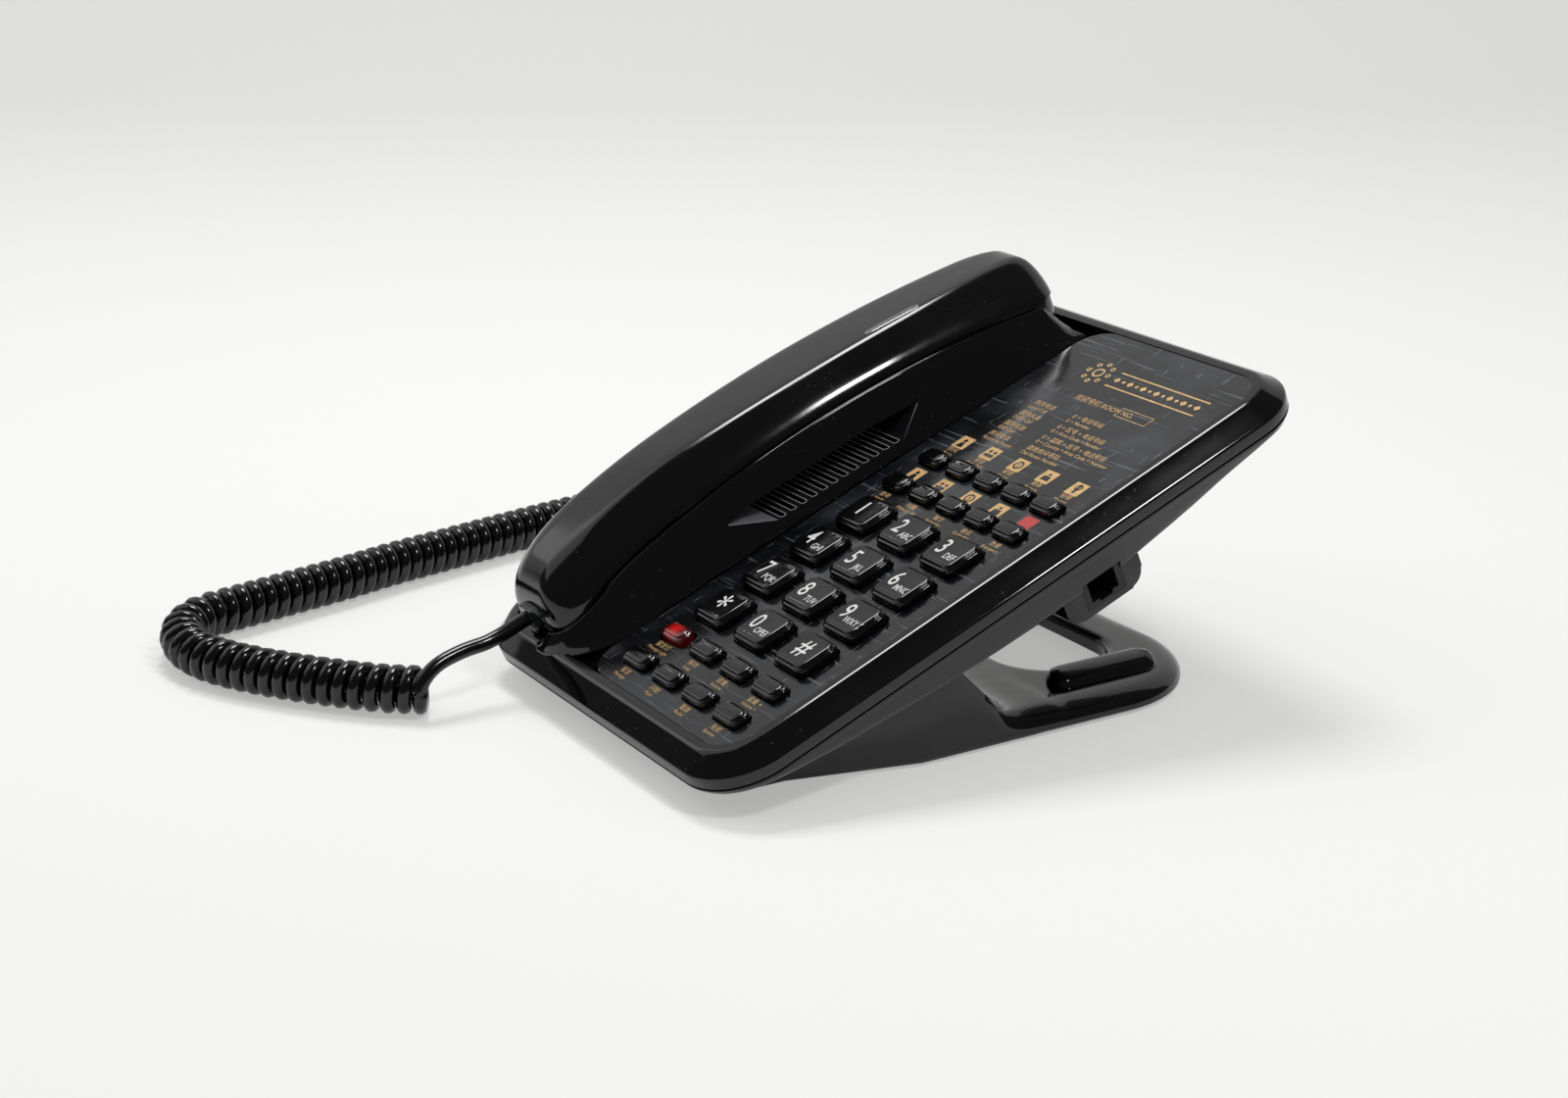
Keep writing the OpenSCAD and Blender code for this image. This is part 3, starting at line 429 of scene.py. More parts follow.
def prism(bm, points, axis_name, a, b):
    """Push an outline along x (points are y, z) or along z (points are x, y)."""
    ends = []
    for value in (a, b):
        ends.append([bm.verts.new((value, *p) if axis_name == "x" else (*p, value)) for p in points])
    n = len(points)
    for k in range(n):
        bm.faces.new((ends[0][k], ends[0][(k + 1) % n], ends[1][(k + 1) % n], ends[1][k]))
    bm.faces.new(ends[0][::-1])
    bm.faces.new(ends[1])


def modify(obj, kind, **settings):
    modifier = obj.modifiers.new(kind, kind)
    for key, value in settings.items():
        setattr(modifier, key, value)
    depsgraph = bpy.context.evaluated_depsgraph_get()
    mesh = bpy.data.meshes.new_from_object(obj.evaluated_get(depsgraph))
    obj.modifiers.clear()
    old = obj.data
    obj.data = mesh
    bpy.data.meshes.remove(old)


def cut(obj, bm, place, angle=40, made=()):
    """Take the shapes in bm out of obj, its new walls in the material made."""
    tool = collect("cutter", bm, made, place)
    modify(obj, "BOOLEAN", object=tool, operation="DIFFERENCE", solver="EXACT",
           material_mode="TRANSFER" if made else "INDEX")
    bpy.data.objects.remove(tool)
    for polygon in obj.data.polygons:
        polygon.use_smooth = True
    obj.data.set_sharp_from_angle(angle=math.radians(angle))


# The handset's middle line, its ends, its half width and the corner radii of its nose
HX, HY0, HY1, HW = -44.8, 10.5, 205.5, 20.7
NOSE_RX, NOSE_RY = 11.5, 15
SEAM_R, SEAM_TOP, MID = 402.1, 22, 108
NOSE_DIP, DIP_FROM, DIP_RUN = 4.6, 42, 31.5


def seam(y):
    """Height of the arc that the handset's seam and the cradle follow."""
    return SEAM_TOP - SEAM_R + math.sqrt(SEAM_R ** 2 - (y - MID) ** 2)


def nose_dip(y):
    """How far the seam leaves its arc towards the nose."""
    return NOSE_DIP * max((DIP_FROM - y) / DIP_RUN, 0) ** 2


# the ridge's sloping wall, from the plate's edge up to just under the handset's seam, and its
# end wrapped round the handset's nose
def ridge_line(x, y, dx, dy, width, top):
    """Section of the ridge from its top by the handset at x, y out to its foot."""
    lip = min(0.5, top * 0.3)
    steps = [(-1.2, -3), (-1.2, top - 0.5), (-1.1, top - 0.3), (0.2, top - 0.05), (0.5, top - 0.3 * lip),
             (0.6 + 0.36 * lip, top - lip)]
    slope = width - 1
    steps += [(0.8 + slope * t, (top - lip) * (1 - t) ** (1 + 0.5 * (top < 8)) + 0.1 * t)
              for t in (0.3, 0.6, 0.8, 0.95)]
    steps += [(width, -0.2), (width, -3)]
    return [(x + dx * d, y + dy * d, z) for d, z in steps]


ridge_lines = []
nose_x, nose_y = HX + HW - NOSE_RX, HY0 + NOSE_RY
for x in (-37.4, -36.4):
    ridge_lines.append(ridge_line(x, 9.6, 0, -1, 5.2, 1.0 if x < -37 else 3.2))
for k in range(15):
    a = -math.pi / 2 + math.pi / 2 * k / 14
    turn = math.sin(a) ** 2
    x, y = nose_x + 12.3 * math.cos(a), nose_y + 15.9 * math.sin(a)
    ridge_lines.append(ridge_line(x, y, math.cos(a), math.sin(a), 5.2 * turn + 9.2 * (1 - turn),
                                  seam(y) - 1.6 - nose_dip(y)))
for k in range(1, 54):
    y = nose_y + (201.5 - nose_y) * k / 53
    end = min(1, (201.5 - y) / 7)
    top = 0.4 + (seam(y) - 1.2 - nose_dip(y)) * math.sin(end * math.pi / 2) ** 1.4
    ridge_lines.append(ridge_line(-23.3, y, 1, 0, 9.2, top))
bm = bmesh.new()
columns = [[bm.verts.new(p) for p in line] for line in ridge_lines]
for a, b in zip(columns, columns[1:]):
    for k in range(len(a)):
        bm.faces.new((a[k], a[(k + 1) % len(a)], b[(k + 1) % len(a)], b[k]))
bm.faces.new(columns[0][::-1])
bm.faces.new(columns[-1])
ridge = collect("cradle_ridge", bm, housing, FACE, 35)

# raised middle of the cradle under the handset's grip
bm = bmesh.new()
side_view = [(60.5, -4), (63.6, seam(64) - 8.2)]
side_view += [(64 + 88 * k / 20, seam(64 + 88 * k / 20) - 7.8) for k in range(1, 20)]
side_view += [(152.4, seam(152) - 8.2), (155.5, -4)]
prism(bm, side_view, "x", -47, -22.6)
platform = collect("cradle_middle", bm, housing, FACE, 35)

# the sounder's mouth through ridge and middle, its walls and floor painted lighter grey as reflected light,
# its twelve slots, painted highlights round their rims and painted reflections on its end facets
mouth = [(67.7, 10.2), (82.7, 3.7), (130.7, 3.7), (140.7, 10.4), (122.7, 11.6), (77.7, 11.6)]
SLOTS = [106.7 + (k - 5.5) * 3.96 for k in range(12)]


def slot_outline(y, grow):
    half, r = 0.85, 0.84 + grow
    return outline(-35.3 - grow, -16.3 + grow, y - half - grow, y + half + grow, r, r, 6, 1)


for piece in (ridge, platform):
    bm = bmesh.new()
    prism(bm, mouth, "x", -38, -9)
    cut(piece, bm, FACE, 35, recess)
    bm = bmesh.new()
    for y in SLOTS:
        prism(bm, slot_outline(y, 0), "z", 0.5, 5)
    cut(piece, bm, FACE, 35)

# thin light grey rings round the slots on the mouth's floor: a painted highlight on their edges
bm = bmesh.new()
for y in SLOTS:
    stack(bm, [[(px, py, 3.72) for px, py in slot_outline(y, grow)] for grow in (0, 0.3)])
slot_rim_highlights = collect("slot_rim_highlights", bm, edge_highlight_grey, FACE)
# light grey quads laid over the mouth's end facets: a painted reflection
bm = bmesh.new()
for (y0, z0), (y1, z1) in (((82.5, 3.82), (68.2, 10.0)), ((130.9, 3.82), (140.3, 10.1))):
    corners = ((-15.7, y0, z0), (-37.5, y0, z0), (-37.5, y1, z1), (-18.0, y1, z1))
    bm.faces.new([bm.verts.new(p) for p in corners])
facets = collect("mouth_facet_reflections", bm, facet_reflection_grey, FACE)

shell = [rim, floor, ridge, platform, slot_rim_highlights, facets]
for piece in shell:
    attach(piece, "base")
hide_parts("upper_housing")

# ---- Lower housing: a shallow hull under the parting line, with the two socket lobes ----

# the hull's section, as inset, height and what front and rear are drawn in further
hull_line = [(1.4, -8.9, 0, 0), (0.5, -8.75, 0, 0), (0.1, -8.85, 0, 0), (0.05, -9.1, 0, 0),
             (0.3, -9.9, 0.3, 0.3), (0.6, -10.6, 0.6, 0.6), (0.85, -11.5, 4.2, 6), (1.2, -12.6, 10, 14),
             (1.55, -13.8, 17, 21.5), (2.2, -15.6, 30, 30), (2.6, -17, 43, 39), (3.2, -18.6, 60, 50),
             (3.5, -19.5, 74, 55), (4, -20.2, 88, 58.5), (4.8, -20.6, 97, 62)]
bm = bmesh.new()
loops = stack(bm, [body_ring(i, z, f, r) for i, z, f, r in hull_line])
cap(bm, loops[-1])
hull = collect("lower_hull", bm, housing, FACE, 30)


def socket_hole(bm, s):
    """The socket's opening in the lobe on side s."""
    box_mesh(bm, min(s * 58.3, s * 76), max(s * 58.3, s * 76), 123.9, 138.1, -26.6, -17.4)


LOBE_IN, LOBE_OUT = 46.5, 70.5
lobes = []
for s in (-1, 1):
    bm = bmesh.new()
    x0, x1 = sorted((s * LOBE_IN, s * LOBE_OUT))
    prism(bm, outline(117, 145, -28.6, -14.6, 5, 5, 8, 2), "x", x0, x1)
    sharp = [e for e in bm.edges if all(abs(abs(v.co.x) - LOBE_OUT) < 0.01 for v in e.verts)]
    bmesh.ops.bevel(bm, geom=sharp, offset=0.8, segments=3, affect="EDGES", profile=0.5)
    lobe = collect("socket_lobe_" + ("left" if s < 0 else "right"), bm, housing, FACE, 35)
    bm = bmesh.new()
    socket_hole(bm, s)
    cut(lobe, bm, FACE, 35)
    lobes.append(lobe)
bm = bmesh.new()
for s in (-1, 1):
    socket_hole(bm, s)
cut(hull, bm, FACE, 30)
for piece in [hull] + lobes:
    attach(piece, "base")
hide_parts("lower_housing")

# ---- Stand: a wedge that runs out into a tray with an oval hole, all edges well rounded ----

HOLE_Y, HOLE_W, HOLE_L = 115, 76, 37
REAR_X, REAR_Y, REAR_R = 26.5, 113.5, 38
FRONT_X, FRONT_R, FLARE, FLARE_END = 39.5, 15, 0.25, 40


def reach(angle, hole):
    """Distance from the hole's middle to its edge, or to the stand's outer edge."""
    dx, dy = math.cos(angle), math.sin(angle)
    if hole:
        a, r = HOLE_W / 2 - HOLE_L / 2, HOLE_L / 2
        t = r / max(abs(dy), 1e-6)
        if abs(dx) * t <= a:
            return t
        b = a * abs(dx)
        return b + math.sqrt(b * b - a * a + r * r)
    low, high = 10.0, 200.0
    for _ in range(40):
        t = (low + high) / 2
        x, y = abs(dx) * t, HOLE_Y + dy * t
        flare = max(y, 0) * FLARE
        if y > REAR_Y:
            outside = math.hypot(max(x - REAR_X, 0), y - REAR_Y) > REAR_R
        elif y >= FLARE_END:
            outside = x > REAR_X + REAR_R
        else:
            rounded = math.hypot(max(x - FRONT_X - flare, 0), max(-y, 0)) > FRONT_R
            outside = (x > FRONT_X + FRONT_R + flare and rounded) or y < -FRONT_R
        low, high = (low, t) if outside else (t, high)
    return low


# how deep the hull hangs under the parting line, by the distance up the face
hull_depths = [(0.6, 2), (10, 4), (30, 7), (60, 10), (95, 12), (160, 12)]


def stand_top(y):
    """Height of the wedge and its tray, kept under the body at the front."""
    tray = 7.0
    for (y0, d0), (y1, d1) in zip(hull_depths, hull_depths[1:]):
        a, b = face_point(0, y0, -9 - d0), face_point(0, y1, -9 - d1)
        if a.y <= y <= b.y:
            under_body = a.z + (b.z - a.z) * (y - a.y) / (b.y - a.y)
    if y < -10:
        under_body = 6
    slope = min(5.18 + (y + 13.5) * 0.4124, 6.5 + (y + 15) * 2)
    front = min(max(slope, 1.6), under_body) if y < 60 else 100
    back_face = 7 + (70 - y) * 1.105
    rear = (tray + back_face + math.hypot(tray - back_face, 6)) / 2
    if y > 90:
        rear = tray
    return min(front, rear)


angles = [TURN * k / 240 for k in range(240)]
EDGE = 11.5
edge_steps = [0, 0.05, 0.3, 0.8, 1.6, 2.7, 4.2, 6, 8.5, 11.5]
bm = bmesh.new()
columns = []
for a in angles:
    inner, outer = reach(a, True), reach(a, False)
    dx, dy = math.cos(a), math.sin(a)
    room = outer - inner
    scale = min(1, room / 16)
    spots = [(outer - e * scale, e, None) for e in edge_steps]
    spots += [(outer - EDGE * scale - (room - EDGE * scale - 4 * scale) * k / 6, EDGE, None)
              for k in range(1, 6)]
    spots += [(inner + e * scale, EDGE, e) for e in (4, 2.4, 1.3, 0.5, 0.1, 0)]
    points = []
    for t, e, h in spots:
        x, y = dx * t, HOLE_Y + dy * t
        z = stand_top(y)
        wide = 8 - 6 * min(max((z - 8) / 6, 0), 1)
        share = min(e / wide, 1)
        foot = min(1 + 1.6, z)
        z = foot + (z - foot) * math.sqrt(1 - (1 - share) ** 2)
        if h is not None:
            z -= 2.6 * (1 - math.sqrt(1 - (1 - min(h / 3, 1)) ** 2))
        points.append((x, y, z))
    points += [(dx * inner, HOLE_Y + dy * inner, 1.6), (dx * (inner + 1), HOLE_Y + dy * (inner + 1), 1.0),
               (dx * (outer - 0.8), HOLE_Y + dy * (outer - 0.8), 1.0), (dx * outer, HOLE_Y + dy * outer, 1.7)]
    columns.append([bm.verts.new(p) for p in points])
for a, b in zip(columns, columns[1:] + columns[:1]):
    for k in range(len(a)):
        bm.faces.new((a[k], a[(k + 1) % len(a)], b[(k + 1) % len(a)], b[k]))
stand = collect("stand_shell", bm, stand_plastic, TABLE, 45)

# the low bar on the tray, which slopes off to its outer side
bar_line = [(0, 5, 0), (0, 7.8, 0.15), (0.3, 9, 0.25), (1.0, 10.1, 0.3), (2.0, 10.7, 0.33), (3.4, 11, 0.35)]
bar = bmesh.new()
loops = stack(bar, [[(x, y, z - max(x - 46.5, 0) * drop) for x, y in outline(
    41 + inset, 52 - inset, 97 + inset, 135 - inset, 5.3 - inset, 5.3 - inset, 8, 4)]
    for inset, z, drop in bar_line])
cap(bar, loops[-1])

# the wedge is hollow underneath, under a roof that runs with the face
bm = bmesh.new()
high, low = face_point(0, 76.9, -23.6), face_point(0, 52, -23.6)
prism(bm, [(14, -1), (low.y, low.z), (high.y, high.z), (64.8, 2), (64.8, -1)], "x", -54, 54)
cut(stand, bm, TABLE, 45)
stand_bar = collect("stand_bar", bar, stand_plastic, TABLE, 45)
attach(stand_bar, "base")
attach(stand, "base")
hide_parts("stand_base")

# ---- Handset: two shells meeting at an arched seam, the back drawn in and rounded off to its
# ends, the front with two cups and the grip's arch ----

CROWN_TOP, CROWN_R, CROWN_Y = 31.3, 734.5, 100
CROWN_DROP, DROP_FROM, DROP_RUN = 6.8, 72, 61.5


def shell_seam(y):
    """The seam between the two shells, which dips towards the nose."""
    return seam(y) - nose_dip(y)


def crown(y):
    """Height of the handset's back along its middle, an arc that drops off towards the nose."""
    arc = CROWN_TOP - CROWN_R + math.sqrt(CROWN_R ** 2 - (y - CROWN_Y) ** 2)
    return arc - CROWN_DROP * max((DROP_FROM - y) / DROP_RUN, 0) ** 2


LEAN = 9.9


def handset_ring(share, squeeze, front, rear):
    """Outline of the back at a share of its height, its sides leaning in at about 45 degrees."""
    points = outline(HX - HW, HX + HW, HY0 + front, HY1 - rear, max(NOSE_RX - front * 0.12, 3),
                     max(NOSE_RY - front * 0.2, 3), 14, 26)
    ring = []
    for x, y in points:
        low = shell_seam(y) + 0.1
        height = crown(y) - low
        half = HW - LEAN * (share * height / 9.3) ** 1.4 * min(1, 9.3 / height) ** 0.6
        ring.append((HX + (x - HX) * half / HW * squeeze, y, low + height * share))
    return ring


back_line = [(0, 0.94, 1.2, 1.2), (0, 0.985, 0.3, 0.3), (0.01, 0.999, 0.02, 0.02), (0.05, 1, 0, 0),
             (0.15, 1, 0.1, 0), (0.32, 1, 0.5, 0.1), (0.5, 1, 1.4, 0.4), (0.66, 1, 3.0, 1),
             (0.77, 1, 5.0, 1.8), (0.86, 1, 7.6, 3), (0.91, 0.995, 10.2, 4.4), (0.945, 0.98, 13, 6),
             (0.97, 0.95, 16.5, 8), (0.985, 0.9, 20, 10.5), (0.993, 0.82, 24, 13.5),
             (0.998, 0.7, 28, 17), (1, 0.5, 32, 20), (1, 0.25, 36, 23)]
bm = bmesh.new()
loops = stack(bm, [handset_ring(*line) for line in back_line])
cap(bm, loops[-1])
back_shell = collect("handset_back_shell", bm, handset_plastic, FACE, 50)


def grip(y):
    """Underside of the front shell: two cups with the arched grip between them."""
    arch = seam(y) - 7
    def ramp(t):
        t = max(0.0, min(1.0, t))
        return t * t * (3 - 2 * t)
    rise = ramp((y - 55.5) / 9) * ramp((160.5 - y) / 9)
    return -2.8 + (arch + 2.8) * rise


def front_ring(inset, drop):
    """Outline of the front shell at a share of its depth, drawn in by inset."""
    points = outline(HX - HW + 0.6 + inset, HX + HW - 0.6 - inset, HY0 + 0.6 + inset, HY1 - 0.6 - inset,
                     max(10.9 - inset, 2), max(14.4 - inset, 3), 14, 60)
    return [(x, y, (shell_seam(y) - 0.05) * (1 - drop) + grip(y) * drop) for x, y in points]


front_line = [(1.0, 0), (0.1, 0), (0, 0.03), (0, 0.3), (0.1, 0.45), (0.4, 0.6), (1.0, 0.76), (1.9, 0.9),
              (3.0, 0.97), (4.2, 1.0)]
bm = bmesh.new()
loops = stack(bm, [front_ring(*line) for line in front_line])
cap(bm, loops[-1])
front_shell = collect("handset_front_shell", bm, handset_plastic, FACE, 50)
bm = bmesh.new()
box_mesh(bm, -50.9, -38.7, 8, 23.5, 0.9, 9.9)
cut(front_shell, bm, FACE, 50)

# the lamp's lens near the ear end, in a light grey frame painted as the highlight on its edge
lens_x, lens_y = HX + HW - LEAN - 2.4, HY0 + 140.5
for name, made, grow, lift in (("handset_lamp_edge_highlight", edge_highlight_grey, 0.3, 0.08),
                               ("handset_lamp_cap", lamp_clear, 0, 0.2)):
    bm = bmesh.new()
    rows = []
    for k in range(13):
        y = lens_y - 9.7 - grow + (19.4 + 2 * grow) * k / 12
        half = 1.0 + grow if 0 < k < 12 else 0.6
        rows.append([bm.verts.new((lens_x + x, y, crown(y) + lift - 0.35 * (max(x, 0) / 1.3) ** 2))
                     for x in [half * t for t in (-1, -0.5, 0, 0.5, 1)]])
    for a, b in zip(rows, rows[1:]):
        for k in range(4):
            bm.faces.new((a[k], a[k + 1], b[k + 1], b[k]))
    lamp_piece = collect(name, bm, made, FACE, keep=True)
    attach(lamp_piece, "handset")
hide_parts("handset_lamp_lens")
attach(back_shell, "handset")
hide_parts("handset_back")
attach(front_shell, "handset")
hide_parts("handset_front")

# ---- Keys: stepped caps with soft edges, and their printed legends; the dial's twelve, the
# seven and ten small ones, and the red light's cap ----

KEY_X, LEGEND_Z = 27.5, 3.255
DIAL = [[("key_star", "*", ""), ("key_0", "0", "OPER"), ("key_hash", "#", "")],
        [("key_7", "7", "PQRS"), ("key_8", "8", "TUV"), ("key_9", "9", "WXYZ")],
        [("key_4", "4", "GHI"), ("key_5", "5", "JKL"), ("key_6", "6", "MNO")],
        [("key_1", "1", ""), ("key_2", "2", "ABC"), ("key_3", "3", "DEF")]]


# a cap's section, as inset and height: skirt, soft step, raised top
cap_line = [(0, -1.6), (0, 0.2), (0.06, 1.7), (0.16, 2.1), (0.38, 2.34), (0.75, 2.46), (0.95, 2.58),
            (1.05, 2.75), (1.15, 3.02), (1.35, 3.2), (1.75, 3.3)]


def key_cap(bm, x, y, w, l, r, dish, high=1.0):
    """A cap w by l with its top dished, or crowned where dish is below zero."""
    def ring(inset, z):
        rr = max(r - inset, 0.5)
        points = outline(x - w / 2 + inset, x + w / 2 - inset, y - l / 2 + inset, y + l / 2 - inset,
                         rr, rr, 5, 2)
        return [(px, py, z * high) for px, py in points]
    loops = stack(bm, [ring(*line) for line in cap_line + [(2.1, 3.3 - dish * 0.3), (2.9, 3.3 - dish)]])
    cap(bm, loops[-1])
    bmesh.ops.reverse_faces(bm, faces=bm.faces)


def text_into(bm, words, x, y, z, size, align="CENTER", squeeze=1.0, thick=0.0):
    """Add flat lettering to bm, x and y at its anchor on the face."""
    line = bpy.data.curves.new("words", "FONT")
    line.body = words
    line.size = size
    line.align_x = align
    line.align_y = "CENTER"
    line.resolution_u = 3
    line.offset = thick
    obj = bpy.data.objects.new("words", line)
    scene.collection.objects.link(obj)
    mesh = bpy.data.meshes.new_from_object(obj)
    before = len(bm.verts)
    bm.from_mesh(mesh)
    bm.verts.ensure_lookup_table()
    fresh = bm.verts[before:]
    for vert in fresh:
        vert.co = (x + vert.co.x * squeeze, y + vert.co.y, z)
    bpy.data.objects.remove(obj)
    bpy.data.curves.remove(line)
    bpy.data.meshes.remove(mesh)


for row, names in enumerate(DIAL):
    for column, (name, digit, letters) in enumerate(names):
        x = KEY_X + (column - 1) * 22
        y = 47.9 + row * 17.3
        bm = bmesh.new()
        key_cap(bm, x, y, 16, 14.4, 3.2, 0.06)
        cap_piece = collect(name + "_cap", bm, key_plastic, FACE, 60)
        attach(cap_piece, name)
        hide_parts(name)
        bm = bmesh.new()
        if letters:
            text_into(bm, digit, x - 3.1, y + 0.4, LEGEND_Z, 8.6, squeeze=0.85, thick=0.05)
            text_into(bm, letters, x + 2.9, y - 2.2, LEGEND_Z, 3.5, squeeze=0.8, thick=0.02)
        else:
            dx, dy, size = {"*": (0, -1.6, 13), "#": (0, 0.4, 9.5), "1": (1, 0.4, 8.6)}[digit]
            text_into(bm, digit, x - dx, y + dy, LEGEND_Z, size, squeeze=0.9, thick=0.05)
        legend = collect(name + "_legend", bm, white, FACE, keep=True)
        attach(legend, name)

small = [("message_key", 0, 0), ("flash_key", 1, 0), ("redial_key", 2, 0), ("speaker_key", 3, 0),
         ("hold_key", 1, 1), ("volume_down_key", 2, 1), ("volume_up_key", 3, 1)]
places = [(name, KEY_X + (i - 1.5) * 17, 19.7 + row * 13.2, 13, 6.8) for name, i, row in small]
places += [("memory_key_%d" % (k + 1), KEY_X + (k % 5 - 2) * 14, 130.4 - 14 * (k // 5), 11.4, 6.8)
           for k in range(10)]
for name, x, y, w, l in places:
    bm = bmesh.new()
    key_cap(bm, x, y, w, l, 2.6, -0.1, 0.8)
    cap_piece = collect(name + "_cap", bm, key_plastic, FACE, 60)
    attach(cap_piece, name)
    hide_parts(name)
bm = bmesh.new()
key_cap(bm, KEY_X - 25.5, 32.9, 12, 6.2, 2.6, -0.1, 0.75)
lens = collect("message_light_cap", bm, lens_red, FACE, 60)
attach(lens, "base")
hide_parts("message_light_lens")

# ---- Print on the face plate: generic gold labels, icon tiles and a plain ornament ----

PRINT_Z = 0.03
bm = bmesh.new()
columns = [KEY_X + (i - 2) * 14 for i in range(5)]
labels_a = [("房间", "Room"), ("前台", "Front Desk"), ("收银", "Cashier"), ("商务", "Business"), ("经理", "Manager")]
labels_b = [("查询", "Inquiry"), ("叫醒", "Wake-up Call"), ("餐厅", "Restaurant"), ("会议", "Conference"),
            ("急救", "Emergency")]
for x, (top, low) in zip(columns, labels_a):
    text_into(bm, top, x, 137.2, PRINT_Z, 2.3)
    text_into(bm, low, x, 135.1, PRINT_Z, 1.75)
for x, (top, low) in zip(columns, labels_b):
    text_into(bm, top, x, 110.9, PRINT_Z, 2.3)
    text_into(bm, low, x, 108.8, PRINT_Z, 1.75, squeeze=0.95)
labels_c = [("留言灯", "Message Light"), ("保持", "Hold"), ("音量 -", "Volume -"), ("音量 +", "Volume +")]
labels_d = [("留言", "Message"), ("闪断", "Flash"), ("重拨", "Redial"), ("免提", "Speaker")]
for i in range(4):
    x = KEY_X + (i - 1.5) * 17
    text_into(bm, labels_c[i][0], x, 27.5, PRINT_Z, 2.4)
    text_into(bm, labels_c[i][1], x, 25.3, PRINT_Z, 1.8)
    text_into(bm, labels_d[i][0], x, 14.2, PRINT_Z, 2.4)
    text_into(bm, labels_d[i][1], x, 12.0, PRINT_Z, 1.8)
lines = [("市内电话", "Local Call", "0 + 电话号码", "0 + Number"),
         ("国内长途", "DDD Call", "0 + 区号 + 电话号码", "0 + Area Code + Number"),
         ("国际长途", "IDD Call", "0 + 国家 + 区号 + 电话号码", "0 + Country + Area Code + Number"),
         ("房间电话", "Room to Room", "直拨房间号码", "Dial Room Number")]
for k, (a, b, c, d) in enumerate(lines):
    y = 167.4 - 6.0 * k
    text_into(bm, a, 2.6, y, PRINT_Z, 2.5, "LEFT")
    text_into(bm, b, 2.6, y - 2.5, PRINT_Z, 2.2, "LEFT")
    text_into(bm, c, 21.6, y, PRINT_Z, 2.5, "LEFT")
    text_into(bm, d, 21.6, y - 2.5, PRINT_Z, 2.2, "LEFT")
text_into(bm, "房间号码 ROOM NO.", 13.2, 175.3, PRINT_Z, 2.9, "LEFT")


def flat_into(bm, points, z=PRINT_Z):
    bm.faces.new([bm.verts.new((*p, z)) for p in points])


def patch_into(bm, x0, x1, y0, y1):
    flat_into(bm, ((x0, y0), (x1, y0), (x1, y1), (x0, y1)))


def disc_into(bm, x, y, r, inner=0.0, n=28, z=PRINT_Z):
    """A disc of radius r, or a ring where inner is given."""
    def circle(radius):
        return [bm.verts.new((x + radius * math.cos(TURN * k / n), y + radius * math.sin(TURN * k / n), z))
                for k in range(n)]
    outer = circle(r)
    if not inner:
        bm.faces.new(outer)
        return
    inside = circle(inner)
    for k in range(n):
        bm.faces.new((outer[k], outer[(k + 1) % n], inside[(k + 1) % n], inside[k]))


# the room number's box
for x0, x1, y0, y1 in ((33.7, 48, 173.2, 173.45), (33.7, 48, 177.25, 177.5), (33.7, 33.95, 173.2, 177.5),
                       (47.75, 48, 173.2, 177.5)):
    patch_into(bm, x0, x1, y0, y1)
# plain ring of dots in the ornament's place, and two plain lines in the name's place
SIGN_X, SIGN_Y = 8.9, 187.8
disc_into(bm, SIGN_X, SIGN_Y, 2.2, 1.5)
for k in range(8):
    a = TURN * k / 8
    disc_into(bm, SIGN_X + 4.6 * math.cos(a), SIGN_Y + 4.6 * math.sin(a), 0.95, 0.45, 14)
for y0, y1 in ((190.6, 191.2), (183.6, 184.2)):
    patch_into(bm, 16.6, 58, y0, y1)
for k in range(13):
    disc_into(bm, 18.6 + 3.1 * k, 187.4, 0.8 if k % 2 else 1.3, 0, 4)
TILE = 2.9
tiles = [(x, 141.4) for x in columns] + [(x, 122.6) for x in columns[:4]]
for x, y in tiles:
    patch_into(bm, x - TILE, x + TILE, y - TILE, y + TILE)
gold_print = collect("plate_gold_print", bm, gold, FACE, keep=True)
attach(gold_print, "base")

# dark pictograms on the gold tiles, and the red emergency tile
bm = bmesh.new()
ICON_Z = 0.05
for n, (x, y) in enumerate(tiles):
    kind = n % 5
    if kind == 0:
        disc_into(bm, x, y + 1, 0.8, 0, 16, ICON_Z)
        box_points = ((x - 1.4, y - 2.2), (x + 1.4, y - 2.2), (x + 0.8, y + 0.1), (x - 0.8, y + 0.1))
    elif kind == 1:
        disc_into(bm, x - 1, y + 0.9, 0.7, 0, 16, ICON_Z)
        disc_into(bm, x + 1.2, y + 0.9, 0.7, 0, 16, ICON_Z)
        box_points = ((x - 2.1, y - 1.7), (x + 2.1, y - 1.7), (x + 2.1, y - 0.2), (x - 2.1, y - 0.2))
    elif kind == 2:
        disc_into(bm, x, y, 1.9, 1.2, 24, ICON_Z)
        box_points = ((x - 0.25, y - 0.9), (x + 0.25, y - 0.9), (x + 0.25, y + 0.9), (x - 0.25, y + 0.9))
    elif kind == 3:
        box_points = ((x - 1.9, y - 1.7), (x + 1.9, y - 1.7), (x + 1.4, y + 0.4), (x - 1.4, y + 0.4))
        disc_into(bm, x, y + 1.2, 0.6, 0, 16, ICON_Z)
    else:
        box_points = ((x - 0.5, y - 2), (x + 0.5, y - 2), (x + 0.5, y + 2), (x - 0.5, y + 2))
        disc_into(bm, x, y + 0.8, 1.4, 0.9, 20, ICON_Z)
    flat_into(bm, box_points, ICON_Z)
icons = collect("plate_icons", bm, plate, FACE, keep=True)
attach(icons, "base")
bm = bmesh.new()
x, y = columns[4], 122.6
patch_into(bm, x - TILE, x + TILE, y - TILE, y + TILE)
alarm = collect("plate_red_tile", bm, red_print, FACE, keep=True)
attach(alarm, "base")

# ---- CAD nodes that keep their shape, with their materials ----

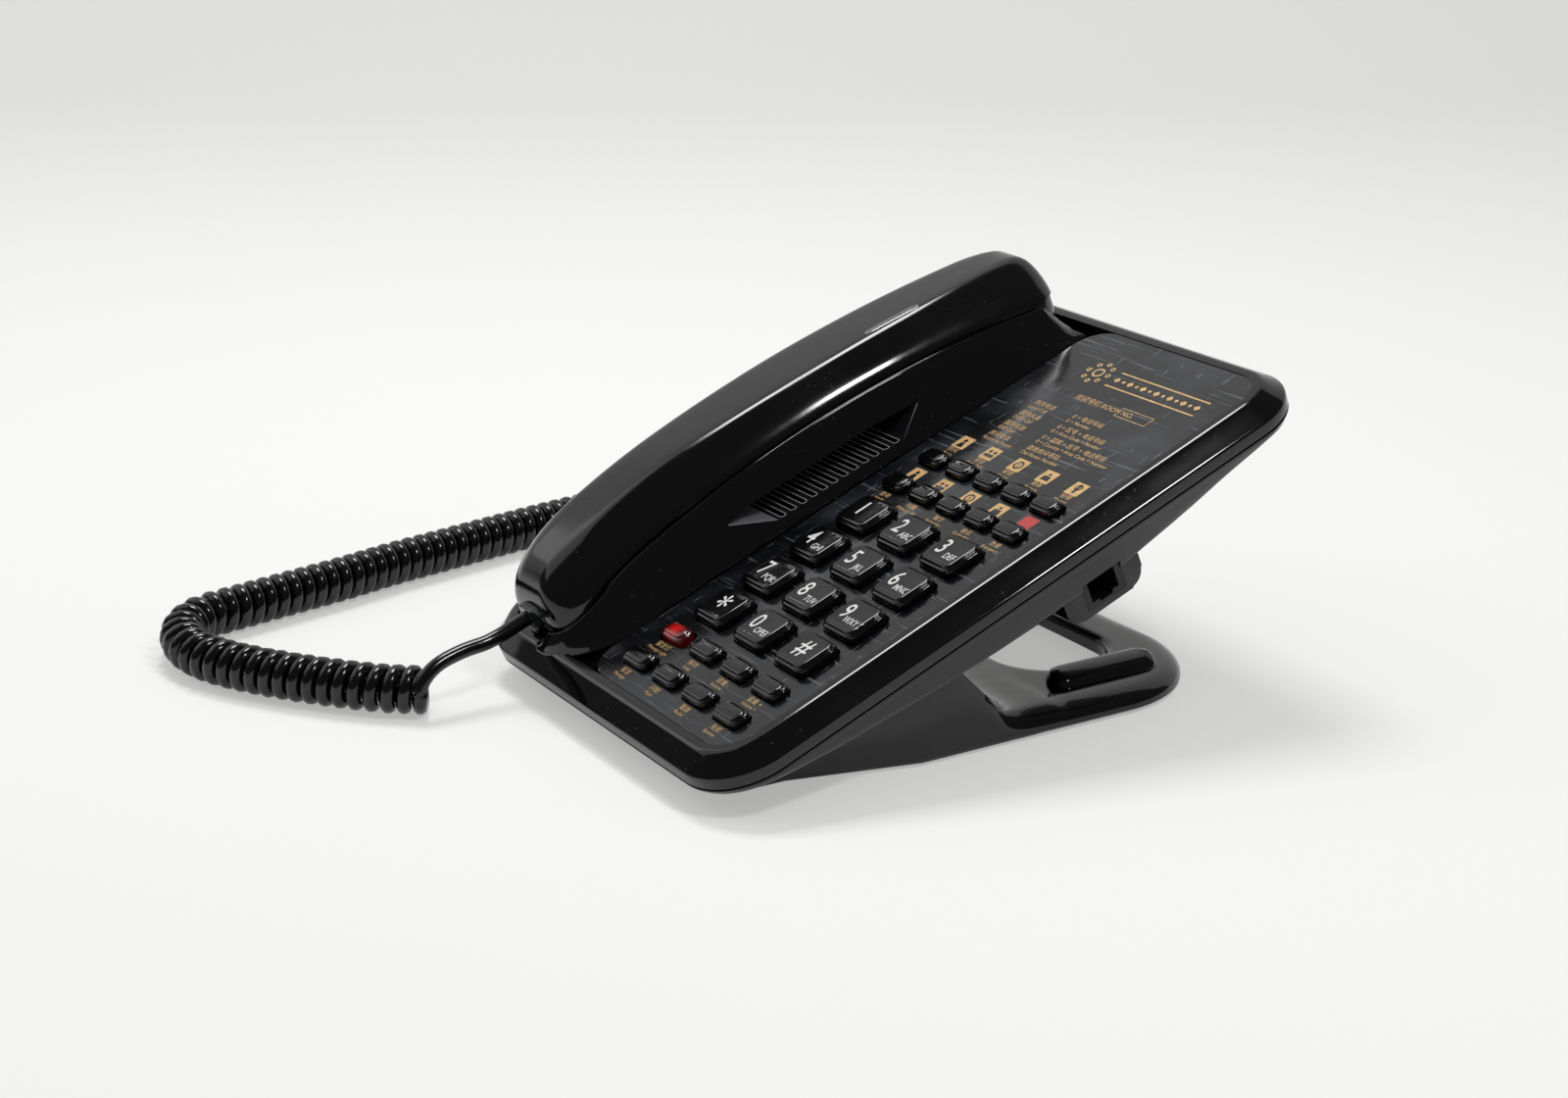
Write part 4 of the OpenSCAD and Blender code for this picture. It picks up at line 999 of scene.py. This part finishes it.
finishes = {"stand_feet": rubber, "face_plate": plate, "message_led": lens_red, "keypad_mat": rubber,
            "main_board": board_green, "base_microphone": steel, "sounder": dark, "hook_plunger": white,
            "hook_switch": dark, "line_socket": dark, "handset_cord_socket": dark, "ballast_weight": steel,
            "housing_screws": steel, "receiver_capsule": dark, "handset_microphone": steel,
            "handset_socket": dark, "handset_weight": steel, "handset_screws": steel,
            "cord_plug_handset": clear, "cord_plug_base": clear}
for name, made in finishes.items():
    node = bpy.data.objects[name]
    node.data.materials.clear()
    node.data.materials.append(made)

# ---- Floor, backdrop, lamps: a pale sweep that is also bright to the camera and in reflections,
# a weak sky, and three softboxes ----

floor_mat = material("off-white paper", "#bcbcbb", 0.9, Emission_Color=srgb("#fdfdfc"))
rays = add(floor_mat, "LightPath").outputs
seen = add(floor_mat, "Math", operation="MAXIMUM", i0=rays["Is Glossy Ray"], i1=rays["Is Transmission Ray"])
seen = add(floor_mat, "Math", operation="MAXIMUM", i0=rays["Is Camera Ray"], i1=seen.outputs[0])
seen = add(floor_mat, "Math", operation="MULTIPLY", i0=seen.outputs[0], i1=0.4)
join(floor_mat, seen.outputs[0], "Emission Strength")
bm = bmesh.new()
profile = [(-1.6, 0.0)] + [(1.1 + 0.5 * math.sin(a), 0.5 - 0.5 * math.cos(a)) for a in
                           [math.pi / 2 * k / 16 for k in range(17)]] + [(1.6, 2.4)]
direction = Vector((-0.8107, 0.4926, 0)).normalized()
across = Vector((direction.y, -direction.x, 0))
rows = []
for d, z in profile:
    rows.append([bm.verts.new(direction * d + across * s + Vector((0, 0, z))) for s in (-3, 3)])
for a, b in zip(rows, rows[1:]):
    bm.faces.new((a[0], a[1], b[1], b[0]))
sweep = collect("floor", bm, floor_mat, Matrix(), 60, keep=True)

world = bpy.data.worlds.new("studio")
scene.world = world
world.use_nodes = True
nodes, links = world.node_tree.nodes, world.node_tree.links
nodes["Background"].inputs["Color"].default_value = srgb("#eaeaea")
rays = nodes.new("ShaderNodeLightPath")
share = nodes.new("ShaderNodeMath")
share.operation = "MULTIPLY_ADD"
share.inputs[1].default_value = 0.36
share.inputs[2].default_value = 0.1
links.new(rays.outputs["Is Diffuse Ray"], share.inputs[0])
links.new(share.outputs[0], nodes["Background"].inputs["Strength"])


def lamp(name, location, target, size, power):
    data = bpy.data.lights.new(name, "AREA")
    data.shape = "SQUARE"
    data.size = size
    data.energy = power
    obj = bpy.data.objects.new(name, data)
    obj.location = location
    obj.rotation_euler = (Vector(target) - Vector(location)).to_track_quat("-Z", "Y").to_euler()
    scene.collection.objects.link(obj)


lamp("softbox_top", (-0.46, 0.15, 1.1), (0, 0.05, 0), 0.4, 7)
lamp("softbox_right", (0.67, 0.24, 1.07), (0, 0.1, 0.05), 0.17, 4)
lamp("softbox_left", (-1.1, -0.9, 1.3), (0, 0, 0.05), 1.6, 6)
